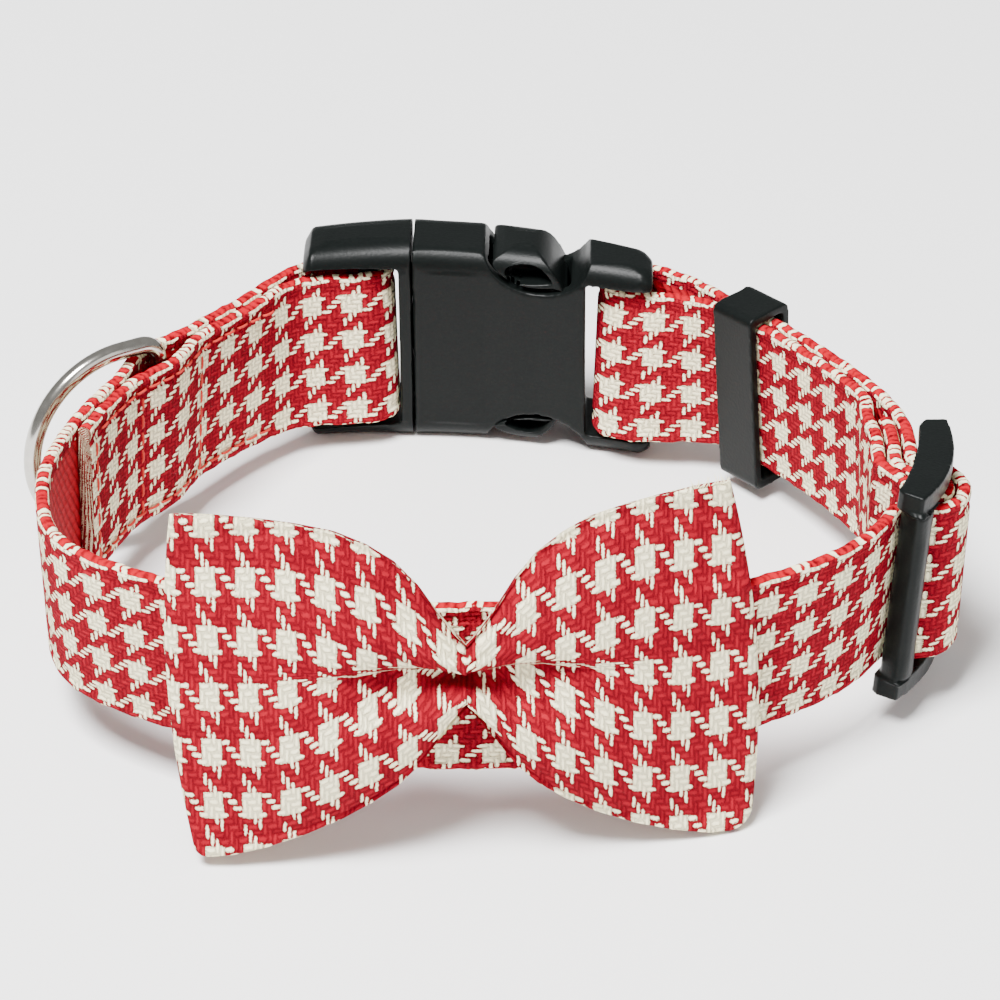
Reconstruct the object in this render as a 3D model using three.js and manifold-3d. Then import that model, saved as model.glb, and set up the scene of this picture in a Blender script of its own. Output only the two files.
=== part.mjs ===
// Pet bow tie collar: a cloth-covered strap doubled at both ends round a side-release buckle, with a keeper,
// a three-bar slider, a D-ring, and a soft bow held on the front by a hidden elastic loop.
// Millimetres, +Z up. The bow is at the front (-Y) and the buckle at the rear (+Y).
import * as THREE from "three";
import { mergeVertices } from "three/addons/utils/BufferGeometryUtils.js";
import Module from "manifold-3d";

const wasm = await Module();
wasm.setup();

// Clearance between pieces that touch, at the bars that the strap turns round, and inside the loops that hold it
const CLEARANCE = 0.3;
const BAR_CLEARANCE = 1.15;
const LOOP_CLEARANCE = 0.6;

// Strap and the loop that it makes
const STRAP_WIDTH = 25;
const STRAP_THICKNESS = 2;
const LOOP_WIDTH = 124;
const LOOP_DEPTH = 114;
const FRONT_HEIGHT = 24;
const FOLD_BACK_LENGTH = 68;
const TAB_LENGTH = 19;

// Places along the loop, measured from its front middle, to the right
const SLIDER_AT = 73;
const KEEPER_AT = 130.5;
const BUCKLE_AT = 177;
const RING_AT = 243.5;

// Buckle, in both halves
const BUCKLE_HEIGHT = 34;
const BUCKLE_THICKNESS = 12;
const BUCKLE_CURVE = 5.5;
const MALE_LENGTH = 16.4;
const FEMALE_LENGTH = 36.8;
const MALE_BAR_FROM_JOINT = 7.2;
const FEMALE_BAR_FROM_JOINT = 33.2;
const MALE_BAR_RADIUS = 1.6;
const FEMALE_BAR_RADIUS = 2;
const BUCKLE_WALL = 2.2;
const STRAP_SIDE_CLEARANCE = 1.1;
const FEMALE_WINDOW_CLEARANCE = 1.4;
const SIDE_CUTOUT = { at: 19.3, length: 16.4, depth: 6 };
const BUTTON_SHIFT = 1.4;
const PRONG_WIDTH = 2.6;
const PRONG_THICKNESS = 4.6;

// Keeper
const KEEPER_LENGTH = 8;
const KEEPER_WALL = 1.3;
const KEEPER_RIM = 1.4;
const KEEPER_DROP = 0.7;

// Slider
const SLIDER_LENGTH = 20.6;
const SLIDER_BAR_RADIUS = 1.6;
const SLIDER_PLATE = 3.1;
const SLIDER_CROWN = 5.2;
const SLIDER_LAP = 0.4;

// D-ring
const RING_WIRE = 2.6;
const RING_INSIDE_WIDTH = 26.4;
const RING_DEPTH = 23.5;
const RING_CORNER = 3;
const RING_SWING = 64;

// Bow
const BOW_AT = -2;
const BOW_STAND_OFF = 1.6;
const BOW_PINCH_DEPTH = 7.4;
const BOW_PUFF = 9;
const BOW_EDGE = 2.7;
const BOW_CREASE = 4;
const BOW_CLOTH = 1.1;
const BOW_SLIT = 0.8;
const BOW_RISE = 5.2;

// Each wing: its length and height, how far its end lies behind the pinch, and how far the end's upper corner,
// its lower corner and both corners lie in from its farthest point
const LEFT_WING = { side: -1, length: 39.5, height: 51, sweep: 2.6, slant: 0.9, bulge: 2.1 };
const RIGHT_WING = { side: 1, length: 39, height: 52.5, sweep: 9, slant: -1.9, bulge: 2.4 };

// Elastic loop behind the bow
const ELASTIC_WIDTH = 8;
const ELASTIC_THICKNESS = 0.9;
const ELASTIC_FROM_PINCH = 14;

const REAR_HEIGHT = BUCKLE_HEIGHT / 2;
const LAYER_PITCH = STRAP_THICKNESS + CLEARANCE;

// Middle line of the strap's outer layer in plan, counterclockwise from the front:
// shares of half the loop's width and depth, and the outward lean of the strap's top in degrees
const LOOP_FORM = [
  { across: -0.04, deep: -0.892, lean: -8 },
  { across: 0.39, deep: -0.826, lean: 1 },
  { across: 0.8, deep: -0.535, lean: 3 },
  { across: 0.935, deep: -0.02, lean: -1 },
  { across: 0.73, deep: 0.479, lean: -3 },
  { across: 0.43, deep: 0.815, lean: -2 },
  { across: -0.04, deep: 1.03, lean: -2 },
  { across: -0.48, deep: 0.835, lean: -2 },
  { across: -0.805, deep: 0.44, lean: -2 },
  { across: -0.99, deep: -0.02, lean: 0 },
  { across: -1.02, deep: -0.32, lean: 1 },
  { across: -0.94, deep: -0.582, lean: 2 },
  { across: -0.48, deep: -0.854, lean: 1 },
];

// One wing of the bow from the pinch to its end: shares of the wing's length, of the bow's height,
// of its puff and of its crease, and how far the wing has swept and dropped
const WING_FORM = [
  { along: 0, tall: 0.17, puff: 1, crease: 1, sweep: 0, drop: 0 },
  { along: 0.045, tall: 0.25, puff: 0.98, crease: 1, sweep: 0.02, drop: 0.05 },
  { along: 0.1, tall: 0.36, puff: 0.95, crease: 0.95, sweep: 0.06, drop: 0.12 },
  { along: 0.16, tall: 0.49, puff: 0.93, crease: 0.85, sweep: 0.1, drop: 0.2 },
  { along: 0.24, tall: 0.61, puff: 0.95, crease: 0.7, sweep: 0.17, drop: 0.3 },
  { along: 0.33, tall: 0.7, puff: 0.97, crease: 0.5, sweep: 0.25, drop: 0.42 },
  { along: 0.44, tall: 0.79, puff: 1, crease: 0.3, sweep: 0.36, drop: 0.56 },
  { along: 0.58, tall: 0.875, puff: 0.9, crease: 0.12, sweep: 0.5, drop: 0.72 },
  { along: 0.72, tall: 0.94, puff: 0.7, crease: 0.04, sweep: 0.66, drop: 0.86 },
  { along: 0.86, tall: 0.985, puff: 0.48, crease: 0, sweep: 0.83, drop: 0.96 },
  { along: 1, tall: 1, puff: 0.36, crease: 0, sweep: 1, drop: 1 },
];

const middle = new THREE.CatmullRomCurve3(
  LOOP_FORM.map(({ across, deep }) => {
    const forward = (1 - deep) / 2;
    const height = THREE.MathUtils.lerp(REAR_HEIGHT, FRONT_HEIGHT, forward);
    return new THREE.Vector3((across * LOOP_WIDTH) / 2, (deep * LOOP_DEPTH) / 2, height);
  }),
  true,
  "centripetal",
);
middle.arcLengthDivisions = 960;
const LOOP_LENGTH = middle.getLength();

function smooth(from, to, value) {
  return THREE.MathUtils.smoothstep(value, from, to);
}

// One rounded bump of height 1 at 0 that ends at -1 and 1
function bump(value) {
  return Math.abs(value) < 1 ? Math.cos((value * Math.PI) / 2) ** 2 : 0;
}

// The strap's own frame at a distance along the loop: along it, outwards and up
function stationAt(distance) {
  const share = THREE.MathUtils.euclideanModulo(distance / LOOP_LENGTH, 1);
  const origin = middle.getPointAt(share);
  const along = middle.getTangentAt(share);
  const row = middle.getUtoTmapping(share) * LOOP_FORM.length;
  const before = LOOP_FORM[Math.floor(row) % LOOP_FORM.length];
  const after = LOOP_FORM[(Math.floor(row) + 1) % LOOP_FORM.length];
  const lean = THREE.MathUtils.lerp(before.lean, after.lean, smooth(0, 1, row % 1));
  const out = new THREE.Vector3(along.y, -along.x, 0).normalize();
  out.applyAxisAngle(along, THREE.MathUtils.degToRad(lean));
  const up = new THREE.Vector3().crossVectors(out, along);
  return { origin, along, out, up };
}

function place(distance, offset, rise = 0) {
  const { origin, out, up } = stationAt(distance);
  return origin.clone().addScaledVector(out, offset).addScaledVector(up, rise);
}

// A frame whose X runs along the strap, Y up and Z outwards
function frameAt(distance, offset = 0, rise = 0) {
  const { along, out, up } = stationAt(distance);
  return new THREE.Matrix4().makeBasis(along, up, out).setPosition(place(distance, offset, rise));
}

// Closed surface through rings of as many points each; the two ends are capped unless it closes on itself
function loft(rings, closed = false) {
  const count = rings[0].length;
  const points = rings.flat();
  const index = [];
  const last = closed ? rings.length : rings.length - 1;
  for (let i = 0; i < last; i++) {
    const next = (i + 1) % rings.length;
    for (let j = 0; j < count; j++) {
      const k = (j + 1) % count;
      const [a, b] = [i * count + j, i * count + k];
      const [c, d] = [next * count + k, next * count + j];
      index.push(a, b, c, a, c, d);
    }
  }
  if (!closed) {
    for (const [ring, turned] of [[0, true], [rings.length - 1, false]]) {
      const centre = points.length;
      points.push(rings[ring].reduce((sum, p) => sum.add(p), new THREE.Vector3()).divideScalar(count));
      for (let j = 0; j < count; j++) {
        const [a, b] = [ring * count + j, ring * count + ((j + 1) % count)];
        index.push(...(turned ? [centre, b, a] : [centre, a, b]));
      }
    }
  }
  const geometry = new THREE.BufferGeometry().setFromPoints(points);
  geometry.setIndex(index);
  return facingOut(geometry);
}

// The same closed surface with its faces turned round where they face inwards
function facingOut(geometry) {
  const position = geometry.attributes.position;
  const index = Array.from(geometry.index.array);
  let volume = 0;
  for (let i = 0; i < index.length; i += 3) {
    const [a, b, c] = [0, 1, 2].map((j) => new THREE.Vector3().fromBufferAttribute(position, index[i + j]));
    volume += a.dot(b.cross(c));
  }
  if (volume < 0) {
    geometry.setIndex(index.reverse());
  }
  return geometry;
}

// Rounded rectangle as [across, up] pairs, counterclockwise
function roundedRectangle(halfAcross, halfUp, radius, steps = 3) {
  const corners = [[1, 1, 0], [-1, 1, 90], [-1, -1, 180], [1, -1, 270]];
  return corners.flatMap(([x, y, start]) =>
    Array.from({ length: steps + 1 }, (_, i) => {
      const angle = THREE.MathUtils.degToRad(start + (90 * i) / steps);
      return [
        x * (halfAcross - radius) + radius * Math.cos(angle),
        y * (halfUp - radius) + radius * Math.sin(angle),
      ];
    }),
  );
}

function solid(geometry) {
  const merged = facingOut(welded(geometry));
  return new wasm.Manifold(
    new wasm.Mesh({
      numProp: 3,
      vertProperties: new Float32Array(merged.attributes.position.array),
      triVerts: new Uint32Array(merged.index.array),
    }),
  );
}

function welded(geometry) {
  const bare = geometry.clone();
  bare.deleteAttribute("normal");
  bare.deleteAttribute("uv");
  return mergeVertices(bare, 1e-4);
}

function geometryOf(manifold) {
  const mesh = manifold.getMesh();
  const geometry = new THREE.BufferGeometry();
  geometry.setAttribute("position", new THREE.BufferAttribute(mesh.vertProperties, 3));
  geometry.setIndex(new THREE.BufferAttribute(mesh.triVerts, 1));
  return geometry;
}

function piece(name, geometry, colour, roughness, metalness = 0) {
  const merged = facingOut(welded(geometry));
  merged.computeVertexNormals();
  const material = new THREE.MeshStandardMaterial({ color: colour, roughness, metalness });
  const mesh = new THREE.Mesh(merged, material);
  mesh.name = name;
  return mesh;
}

// Prism of an outline of [x, y] pairs between two depths
function prism(outline, from, to) {
  const shape = new THREE.Shape(outline.map(([x, y]) => new THREE.Vector2(x, y)));
  const geometry = new THREE.ExtrudeGeometry(shape, { depth: to - from, bevelEnabled: false });
  return geometry.translate(0, 0, from);
}

function ellipse(x, y, halfLength, halfHeight, count = 20) {
  return Array.from({ length: count }, (_, i) => {
    const angle = (2 * Math.PI * i) / count;
    return [x + halfLength * Math.cos(angle), y + halfHeight * Math.sin(angle)];
  });
}

// Arc of [distance, offset] pairs round a bar
function arc(centre, radii, from, to, steps) {
  return Array.from({ length: steps + 1 }, (_, i) => {
    const angle = THREE.MathUtils.degToRad(THREE.MathUtils.lerp(from, to, i / steps));
    return [centre[0] + radii[0] * Math.cos(angle), centre[1] + radii[1] * Math.sin(angle)];
  });
}

function run(from, to, offsetAt, step = 5) {
  const count = Math.max(1, Math.round(Math.abs(to - from) / step));
  return Array.from({ length: count + 1 }, (_, i) => {
    const distance = THREE.MathUtils.lerp(from, to, i / count);
    return [distance, offsetAt(distance)];
  });
}

// Distances along the loop of the two buckle bars, whose straight spacing is the buckle's own
const BAR_SPACING = MALE_BAR_FROM_JOINT + FEMALE_BAR_FROM_JOINT;
const MALE_FOLD = MALE_BAR_RADIUS + BAR_CLEARANCE + STRAP_THICKNESS / 2;
const FEMALE_FOLD = FEMALE_BAR_RADIUS + BAR_CLEARANCE + STRAP_THICKNESS / 2;
let barHalfArc = BAR_SPACING / 2;
for (let i = 0; i < 8; i++) {
  const male = place(BUCKLE_AT + barHalfArc, -MALE_FOLD);
  const female = place(BUCKLE_AT - barHalfArc, -FEMALE_FOLD);
  barHalfArc *= BAR_SPACING / male.distanceTo(female);
}
const MALE_BAR_AT = BUCKLE_AT + barHalfArc;
const FEMALE_BAR_AT = BUCKLE_AT - barHalfArc;

// Slider bars, whose middles lie outside the strap's middle line
const SLIDER_BAR_OUT = STRAP_THICKNESS / 2 + CLEARANCE + SLIDER_BAR_RADIUS;
const SLIDER_BAR_PITCH = SLIDER_LENGTH / 2 - SLIDER_BAR_RADIUS - SLIDER_LAP;
const SLIDER_WRAP = SLIDER_BAR_RADIUS + CLEARANCE + STRAP_THICKNESS / 2;

const RING_RELIEF = RING_WIRE / 2 + CLEARANCE;
const RING_RELIEF_SPREAD = 10;

function ringRelief(distance) {
  return RING_RELIEF * bump((distance - RING_AT) / RING_RELIEF_SPREAD);
}

// Inner layer that is folded back from the male half, sewn to the outer layer
function foldedBackLayer() {
  const end = MALE_BAR_AT + FOLD_BACK_LENGTH;
  const merge = 16;
  const offset = (distance) => {
    const apart = 2 * MALE_FOLD - LAYER_PITCH;
    const spread = apart * (1 - smooth(MALE_BAR_AT, MALE_BAR_AT + merge, distance));
    return -LAYER_PITCH - spread - ringRelief(distance);
  };
  return run(end, MALE_BAR_AT, offset, 4);
}

function turnRoundMaleBar() {
  const centre = [MALE_BAR_AT, -MALE_FOLD];
  return arc(centre, [MALE_FOLD, MALE_FOLD], 270, 90, 8).slice(1, -1);
}

function outerLayer() {
  const end = SLIDER_AT + LOOP_LENGTH - SLIDER_BAR_PITCH;
  return run(MALE_BAR_AT, end, ringRelief, 4.5);
}

// Under the slider's front bar, out over its middle bar and back under its rear bar
function weaveThroughSlider() {
  const at = SLIDER_AT + LOOP_LENGTH;
  const over = SLIDER_WRAP + LAYER_PITCH;
  const slot = SLIDER_BAR_PITCH - SLIDER_WRAP;
  const hug = [SLIDER_WRAP, SLIDER_BAR_OUT];
  return [
    ...arc([at - SLIDER_BAR_PITCH, SLIDER_BAR_OUT], hug, -90, 0, 3).slice(1, -1),
    ...arc([at, SLIDER_BAR_OUT], [slot, over], 180, 0, 10),
    ...arc([at + SLIDER_BAR_PITCH, SLIDER_BAR_OUT], hug, 180, 270, 3).slice(1, -1),
  ];
}

function outerLayerToBuckle() {
  const from = SLIDER_AT + LOOP_LENGTH + SLIDER_BAR_PITCH;
  return run(from, FEMALE_BAR_AT + LOOP_LENGTH, () => 0);
}

function turnRoundFemaleBar() {
  const centre = [FEMALE_BAR_AT + LOOP_LENGTH, -FEMALE_FOLD];
  return arc(centre, [FEMALE_FOLD, FEMALE_FOLD], 90, -90, 8).slice(1, -1);
}

// Inner layer from the female half to the slider's middle bar, two layers in where the tab lies between
function returningLayer() {
  const from = FEMALE_BAR_AT + LOOP_LENGTH;
  const merged = KEEPER_AT + LOOP_LENGTH + KEEPER_LENGTH;
  const tabEnd = SLIDER_AT + LOOP_LENGTH + TAB_LENGTH;
  const offset = (distance) => {
    const apart = 2 * FEMALE_FOLD - LAYER_PITCH;
    const spread = apart * smooth(merged - KEEPER_LENGTH / 2, from, distance);
    const tab = LAYER_PITCH * (1 - smooth(tabEnd, tabEnd + TAB_LENGTH / 2, distance));
    return -LAYER_PITCH - spread - tab;
  };
  return run(from, SLIDER_AT + LOOP_LENGTH + SLIDER_BAR_PITCH, offset, 4);
}

// Round the slider's middle bar, then back between the two layers as a short tab
function tabAtSlider() {
  const at = SLIDER_AT + LOOP_LENGTH;
  const towardsBar = [[2.1, -1.85], [0.9, -0.75]];
  const fromBar = [[1.4, 0.2], [1.95, -0.6], [2.7, -0.95]];
  const inPitches = ([along, out]) => [at + along * LAYER_PITCH, out * LAYER_PITCH];
  const tab = run(at + SLIDER_BAR_PITCH + STRAP_THICKNESS, at + TAB_LENGTH, () => -LAYER_PITCH);
  return [
    ...towardsBar.map(inPitches),
    ...arc([at, SLIDER_BAR_OUT], [SLIDER_WRAP, SLIDER_WRAP], 270, 0, 11),
    ...fromBar.map(inPitches),
    ...tab,
  ];
}

function strapGeometry() {
  const route = [
    ...foldedBackLayer(),
    ...turnRoundMaleBar(),
    ...outerLayer(),
    ...weaveThroughSlider(),
    ...outerLayerToBuckle(),
    ...turnRoundFemaleBar(),
    ...returningLayer(),
    ...tabAtSlider(),
  ];
  const points = route.map(([distance, offset]) => place(distance, offset));
  const half = STRAP_THICKNESS / 2;
  const section = roundedRectangle(half, STRAP_WIDTH / 2, half * 0.9, 2);
  const rings = points.map((point, i) => {
    const before = points[Math.max(0, i - 1)];
    const after = points[Math.min(points.length - 1, i + 1)];
    const heading = new THREE.Vector3().subVectors(after, before).normalize();
    const { up } = stationAt(route[i][0]);
    const side = new THREE.Vector3().crossVectors(heading, up).normalize();
    return section.map(([out, rise]) => point.clone().addScaledVector(side, out).addScaledVector(up, rise));
  });
  return loft(rings);
}

// Buckle: X runs from the joint towards the female end, Y up, Z towards the inside of the loop
function buckleCurve(x) {
  const half = (MALE_LENGTH + FEMALE_LENGTH) / 2;
  const centre = (FEMALE_LENGTH - MALE_LENGTH) / 2;
  return -BUCKLE_CURVE * (1 - ((x - centre) / half) ** 2);
}

function buckleFrame() {
  const male = place(MALE_BAR_AT, -MALE_FOLD);
  const female = place(FEMALE_BAR_AT, -FEMALE_FOLD);
  const across = new THREE.Vector3().subVectors(female, male).normalize();
  const up = stationAt(BUCKLE_AT).up.clone();
  up.addScaledVector(across, -up.dot(across)).normalize();
  const inward = new THREE.Vector3().crossVectors(across, up);
  const slope = buckleCurve(FEMALE_BAR_FROM_JOINT) - buckleCurve(-MALE_BAR_FROM_JOINT);
  const turn = new THREE.Matrix4().makeRotationY(Math.atan2(slope, BAR_SPACING));
  const shift = new THREE.Matrix4().makeTranslation(
    MALE_BAR_FROM_JOINT,
    0,
    -buckleCurve(-MALE_BAR_FROM_JOINT),
  );
  const basis = new THREE.Matrix4().makeBasis(across, up, inward).setPosition(male);
  return basis.multiply(turn).multiply(shift);
}

// Body whose sections are rounded rectangles across X; rows hold x, half the height and half the thickness
function buckleBody(rows, radius) {
  const rings = rows.map(([x, halfHeight, halfThickness]) => {
    const corner = Math.min(radius, halfThickness * 0.8);
    const outline = roundedRectangle(halfHeight, halfThickness, corner, 3);
    return outline.map(([y, z]) => new THREE.Vector3(x, y, z + buckleCurve(x)));
  });
  return solid(loft(rings));
}

function buckleBlock(fromX, toX, halfHeight, halfThickness, steps = 4) {
  const rows = Array.from({ length: steps + 1 }, (_, i) => {
    return [THREE.MathUtils.lerp(fromX, toX, i / steps), halfHeight, halfThickness];
  });
  const rings = rows.map(([x, y, z]) => {
    const outline = [[y, z], [-y, z], [-y, -z], [y, -z]];
    return outline.map(([a, b]) => new THREE.Vector3(x, a, b + buckleCurve(x)));
  });
  return solid(loft(rings));
}

const INSIDE_HALF_WIDTH = STRAP_WIDTH / 2 + STRAP_SIDE_CLEARANCE;

function buckleBar(x, radius) {
  const length = 2 * (INSIDE_HALF_WIDTH + BUCKLE_WALL / 2);
  const bar = new THREE.CylinderGeometry(radius, radius, length, 16);
  return solid(bar.translate(x, 0, buckleCurve(x)));
}

function cutoutOutline(side, inset = 0) {
  const half = SIDE_CUTOUT.length / 2 - inset;
  const top = BUCKLE_HEIGHT / 2 + 1;
  return ellipse(SIDE_CUTOUT.at, side * top, half, SIDE_CUTOUT.depth + 1 - inset, 28);
}

// Oval button of a prong, which lies nearer to the joint in its cutout
function buttonOutline(side, scale = 1) {
  const halfLength = (SIDE_CUTOUT.length / 2) * 0.74;
  const halfHeight = SIDE_CUTOUT.depth / 2;
  const y = BUCKLE_HEIGHT / 2 - halfHeight;
  return ellipse(SIDE_CUTOUT.at - BUTTON_SHIFT, side * y, halfLength * scale, halfHeight * scale, 20);
}

function prong(side) {
  const half = PRONG_WIDTH / 2;
  const root = BUCKLE_HEIGHT / 4;
  const tip = BUCKLE_HEIGHT / 2 - SIDE_CUTOUT.depth;
  const count = 5;
  const rings = Array.from({ length: count + 1 }, (_, i) => {
    const x = THREE.MathUtils.lerp(-1, SIDE_CUTOUT.at + half, i / count);
    const y = side * THREE.MathUtils.lerp(root, tip, smooth(0, 1, i / count));
    const outline = [[half, 1], [-half, 1], [-half, -1], [half, -1]];
    return outline.map(
      ([a, b]) => new THREE.Vector3(x, y + a, (b * PRONG_THICKNESS) / 2 + buckleCurve(x)),
    );
  });
  const middleDepth = buckleCurve(SIDE_CUTOUT.at);
  const halfThickness = BUCKLE_THICKNESS / 2 - CLEARANCE;
  const [back, front] = [middleDepth - halfThickness, middleDepth + halfThickness];
  const button = solid(prism(buttonOutline(side), back, front));
  const room = solid(prism(cutoutOutline(side, 2 * CLEARANCE), back, front));
  const hollow = solid(prism(buttonOutline(side, 0.6), middleDepth + halfThickness / 4, BUCKLE_THICKNESS));
  return solid(loft(rings)).add(button.intersect(room)).subtract(hollow);
}

function maleHalf() {
  const high = BUCKLE_HEIGHT / 2;
  const deep = BUCKLE_THICKNESS / 2;
  const rows = [
    [-MALE_LENGTH, high - 1.7, deep * 0.56],
    [-MALE_LENGTH + 1.2, high - 1.1, deep * 0.72],
    [-MALE_LENGTH / 2, high - 0.5, deep * 0.88],
    [0, high, deep],
  ];
  const windowEdge = -MALE_BAR_FROM_JOINT + MALE_FOLD + STRAP_THICKNESS / 2 + LOOP_CLEARANCE;
  const tongueLength = SIDE_CUTOUT.at + PRONG_WIDTH;
  return buckleBody(rows, 2.4)
    .subtract(buckleBlock(-MALE_LENGTH - 1, windowEdge, INSIDE_HALF_WIDTH, BUCKLE_THICKNESS))
    .add(buckleBar(-MALE_BAR_FROM_JOINT, MALE_BAR_RADIUS))
    .add(buckleBlock(-1, tongueLength, PRONG_WIDTH, PRONG_THICKNESS / 3))
    .add(prong(1))
    .add(prong(-1));
}

function femaleHalf() {
  const high = BUCKLE_HEIGHT / 2;
  const deep = BUCKLE_THICKNESS / 2;
  const cutoutEnd = SIDE_CUTOUT.at + SIDE_CUTOUT.length / 2;
  const rows = [
    [CLEARANCE, high, deep],
    [SIDE_CUTOUT.at - SIDE_CUTOUT.length / 2, high - 0.2, deep],
    [SIDE_CUTOUT.at, high - 0.5, deep * 0.98],
    [cutoutEnd, high - 0.3, deep * 0.94],
    [FEMALE_BAR_FROM_JOINT, high - 0.1, deep * 0.86],
    [FEMALE_LENGTH - 1.2, high - 0.5, deep * 0.76],
    [FEMALE_LENGTH, high - 1.1, deep * 0.6],
  ];
  const windowEdge = FEMALE_BAR_FROM_JOINT - FEMALE_FOLD - STRAP_THICKNESS / 2 - FEMALE_WINDOW_CLEARANCE;
  const cavityHeight = high - BUCKLE_WALL;
  const cavityDepth = deep - BUCKLE_WALL;
  return buckleBody(rows, 2.4)
    .subtract(buckleBlock(-1, windowEdge - BUCKLE_WALL, cavityHeight, cavityDepth))
    .subtract(solid(prism(cutoutOutline(1), -BUCKLE_THICKNESS * 2, BUCKLE_THICKNESS)))
    .subtract(solid(prism(cutoutOutline(-1), -BUCKLE_THICKNESS * 2, BUCKLE_THICKNESS)))
    .subtract(buckleBlock(windowEdge, FEMALE_LENGTH + 1, INSIDE_HALF_WIDTH, BUCKLE_THICKNESS))
    .add(buckleBar(FEMALE_BAR_FROM_JOINT, FEMALE_BAR_RADIUS));
}

// Keeper: a flat frame round both layers
function keeperGeometry() {
  const insideDepth = (LAYER_PITCH + STRAP_THICKNESS) / 2 + LOOP_CLEARANCE;
  const inside = roundedRectangle(insideDepth, INSIDE_HALF_WIDTH, 0.5, 2);
  const outside = roundedRectangle(insideDepth + KEEPER_WALL, INSIDE_HALF_WIDTH + KEEPER_RIM, 1.1, 3);
  const shape = new THREE.Shape(outside.map(([x, y]) => new THREE.Vector2(x, y)));
  shape.holes.push(new THREE.Path(inside.map(([x, y]) => new THREE.Vector2(x, y)).reverse()));
  const geometry = new THREE.ExtrudeGeometry(shape, { depth: KEEPER_LENGTH, bevelEnabled: false });
  geometry.translate(0, 0, -KEEPER_LENGTH / 2);
  // the outline's X becomes the depth and the extrusion runs along the strap
  geometry.rotateY(-Math.PI / 2);
  geometry.applyMatrix4(frameAt(KEEPER_AT, -LAYER_PITCH / 2, -KEEPER_DROP));
  return geometry;
}

// Follow the strap's curve: X is the distance from a place on the loop, Y up, Z outwards
function bend(geometry, at) {
  const bent = geometry.clone();
  const position = bent.attributes.position;
  for (let i = 0; i < position.count; i++) {
    const point = place(at + position.getX(i), position.getZ(i), position.getY(i));
    position.setXYZ(i, point.x, point.y, point.z);
  }
  return bent;
}

// Slider: three round bars between two D-shaped end plates, flat inside and crowned outside
function sliderGeometry() {
  const innerSide = SLIDER_BAR_OUT - SLIDER_BAR_RADIUS - SLIDER_LAP;
  const outerSide = SLIDER_BAR_OUT + SLIDER_BAR_RADIUS;
  const crown = innerSide + SLIDER_CROWN;
  const half = SLIDER_LENGTH / 2;
  const steps = 10;
  const flat = Array.from({ length: steps - 1 }, (_, i) => {
    return [THREE.MathUtils.lerp(-half, half, (i + 1) / steps), innerSide];
  });
  const crowned = Array.from({ length: steps + 1 }, (_, i) => {
    const share = 1 - (2 * i) / steps;
    const height = THREE.MathUtils.lerp(outerSide + SLIDER_LAP, crown, 1 - share ** 2);
    return [share * half, height];
  });
  const outline = [[-half, innerSide + 1], [-half + 0.6, innerSide], ...flat, [half, innerSide + 1], ...crowned];
  const plates = [1, -1].map((side) => {
    const from = side > 0 ? INSIDE_HALF_WIDTH : -INSIDE_HALF_WIDTH - SLIDER_PLATE;
    const plate = prism(outline, from, from + SLIDER_PLATE);
    // the outline's Y becomes the depth and the extrusion runs up
    plate.rotateX(-Math.PI / 2);
    plate.scale(1, 1, -1);
    return solid(bend(plate, SLIDER_AT));
  });
  const bars = [-SLIDER_BAR_PITCH, 0, SLIDER_BAR_PITCH].map((x) => {
    const length = 2 * INSIDE_HALF_WIDTH + SLIDER_PLATE;
    const bar = new THREE.CylinderGeometry(SLIDER_BAR_RADIUS, SLIDER_BAR_RADIUS, length, 14);
    return solid(bend(bar.translate(x, 0, SLIDER_BAR_OUT), SLIDER_AT));
  });
  return geometryOf([...plates, ...bars].reduce((whole, next) => whole.add(next)));
}

// D-ring: the straight bar lies between the strap's layers, the arc stands outside; X runs away from the bar
function ringGeometry() {
  const half = (RING_INSIDE_WIDTH + RING_WIRE) / 2;
  const reach = RING_DEPTH - RING_WIRE;
  const shoulder = reach - half;
  const outline = [
    ...arc([RING_CORNER, -half + RING_CORNER], [RING_CORNER, RING_CORNER], 180, 270, 3),
    ...arc([shoulder, 0], [half, half], -90, 90, 14),
    ...arc([RING_CORNER, half - RING_CORNER], [RING_CORNER, RING_CORNER], 90, 180, 3),
  ];
  const count = outline.length;
  const wire = ellipse(0, 0, RING_WIRE / 2, RING_WIRE / 2, 12);
  const rings = outline.map(([x, y], i) => {
    const [ax, ay] = outline[(i + count - 1) % count];
    const [bx, by] = outline[(i + 1) % count];
    const side = new THREE.Vector3(by - ay, ax - bx, 0).normalize();
    return wire.map(([out, up]) => new THREE.Vector3(x, y, up).addScaledVector(side, out));
  });
  const geometry = loft(rings, true);
  geometry.rotateY(THREE.MathUtils.degToRad(RING_SWING - 90));
  geometry.applyMatrix4(frameAt(RING_AT, -LAYER_PITCH / 2));
  return geometry;
}

// The wing's row at a share of its length, between the rows of the table
function wingRow(share) {
  const upper = WING_FORM.findIndex(({ along }) => along >= share);
  if (upper <= 0) {
    return WING_FORM[0];
  }
  const [before, after] = [WING_FORM[upper - 1], WING_FORM[upper]];
  const part = (share - before.along) / (after.along - before.along);
  const mixed = Object.keys(before).map((key) => [
    key,
    THREE.MathUtils.lerp(before[key], after[key], part),
  ]);
  return Object.fromEntries(mixed);
}

// Outer face of the elastic loop, measured from the strap's middle
const ELASTIC_INSIDE = STRAP_THICKNESS / 2 + LOOP_CLEARANCE + CLEARANCE;
const ELASTIC_OUTSIDE = ELASTIC_INSIDE + ELASTIC_THICKNESS;

const BOW_CLEAR_OF_STRAP = STRAP_THICKNESS / 2 + BOW_STAND_OFF;
const bowFrame = frameAt(BOW_AT, BOW_CLEAR_OF_STRAP + BOW_PINCH_DEPTH / 2, BOW_RISE);
const intoBow = bowFrame.clone().invert();

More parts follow.
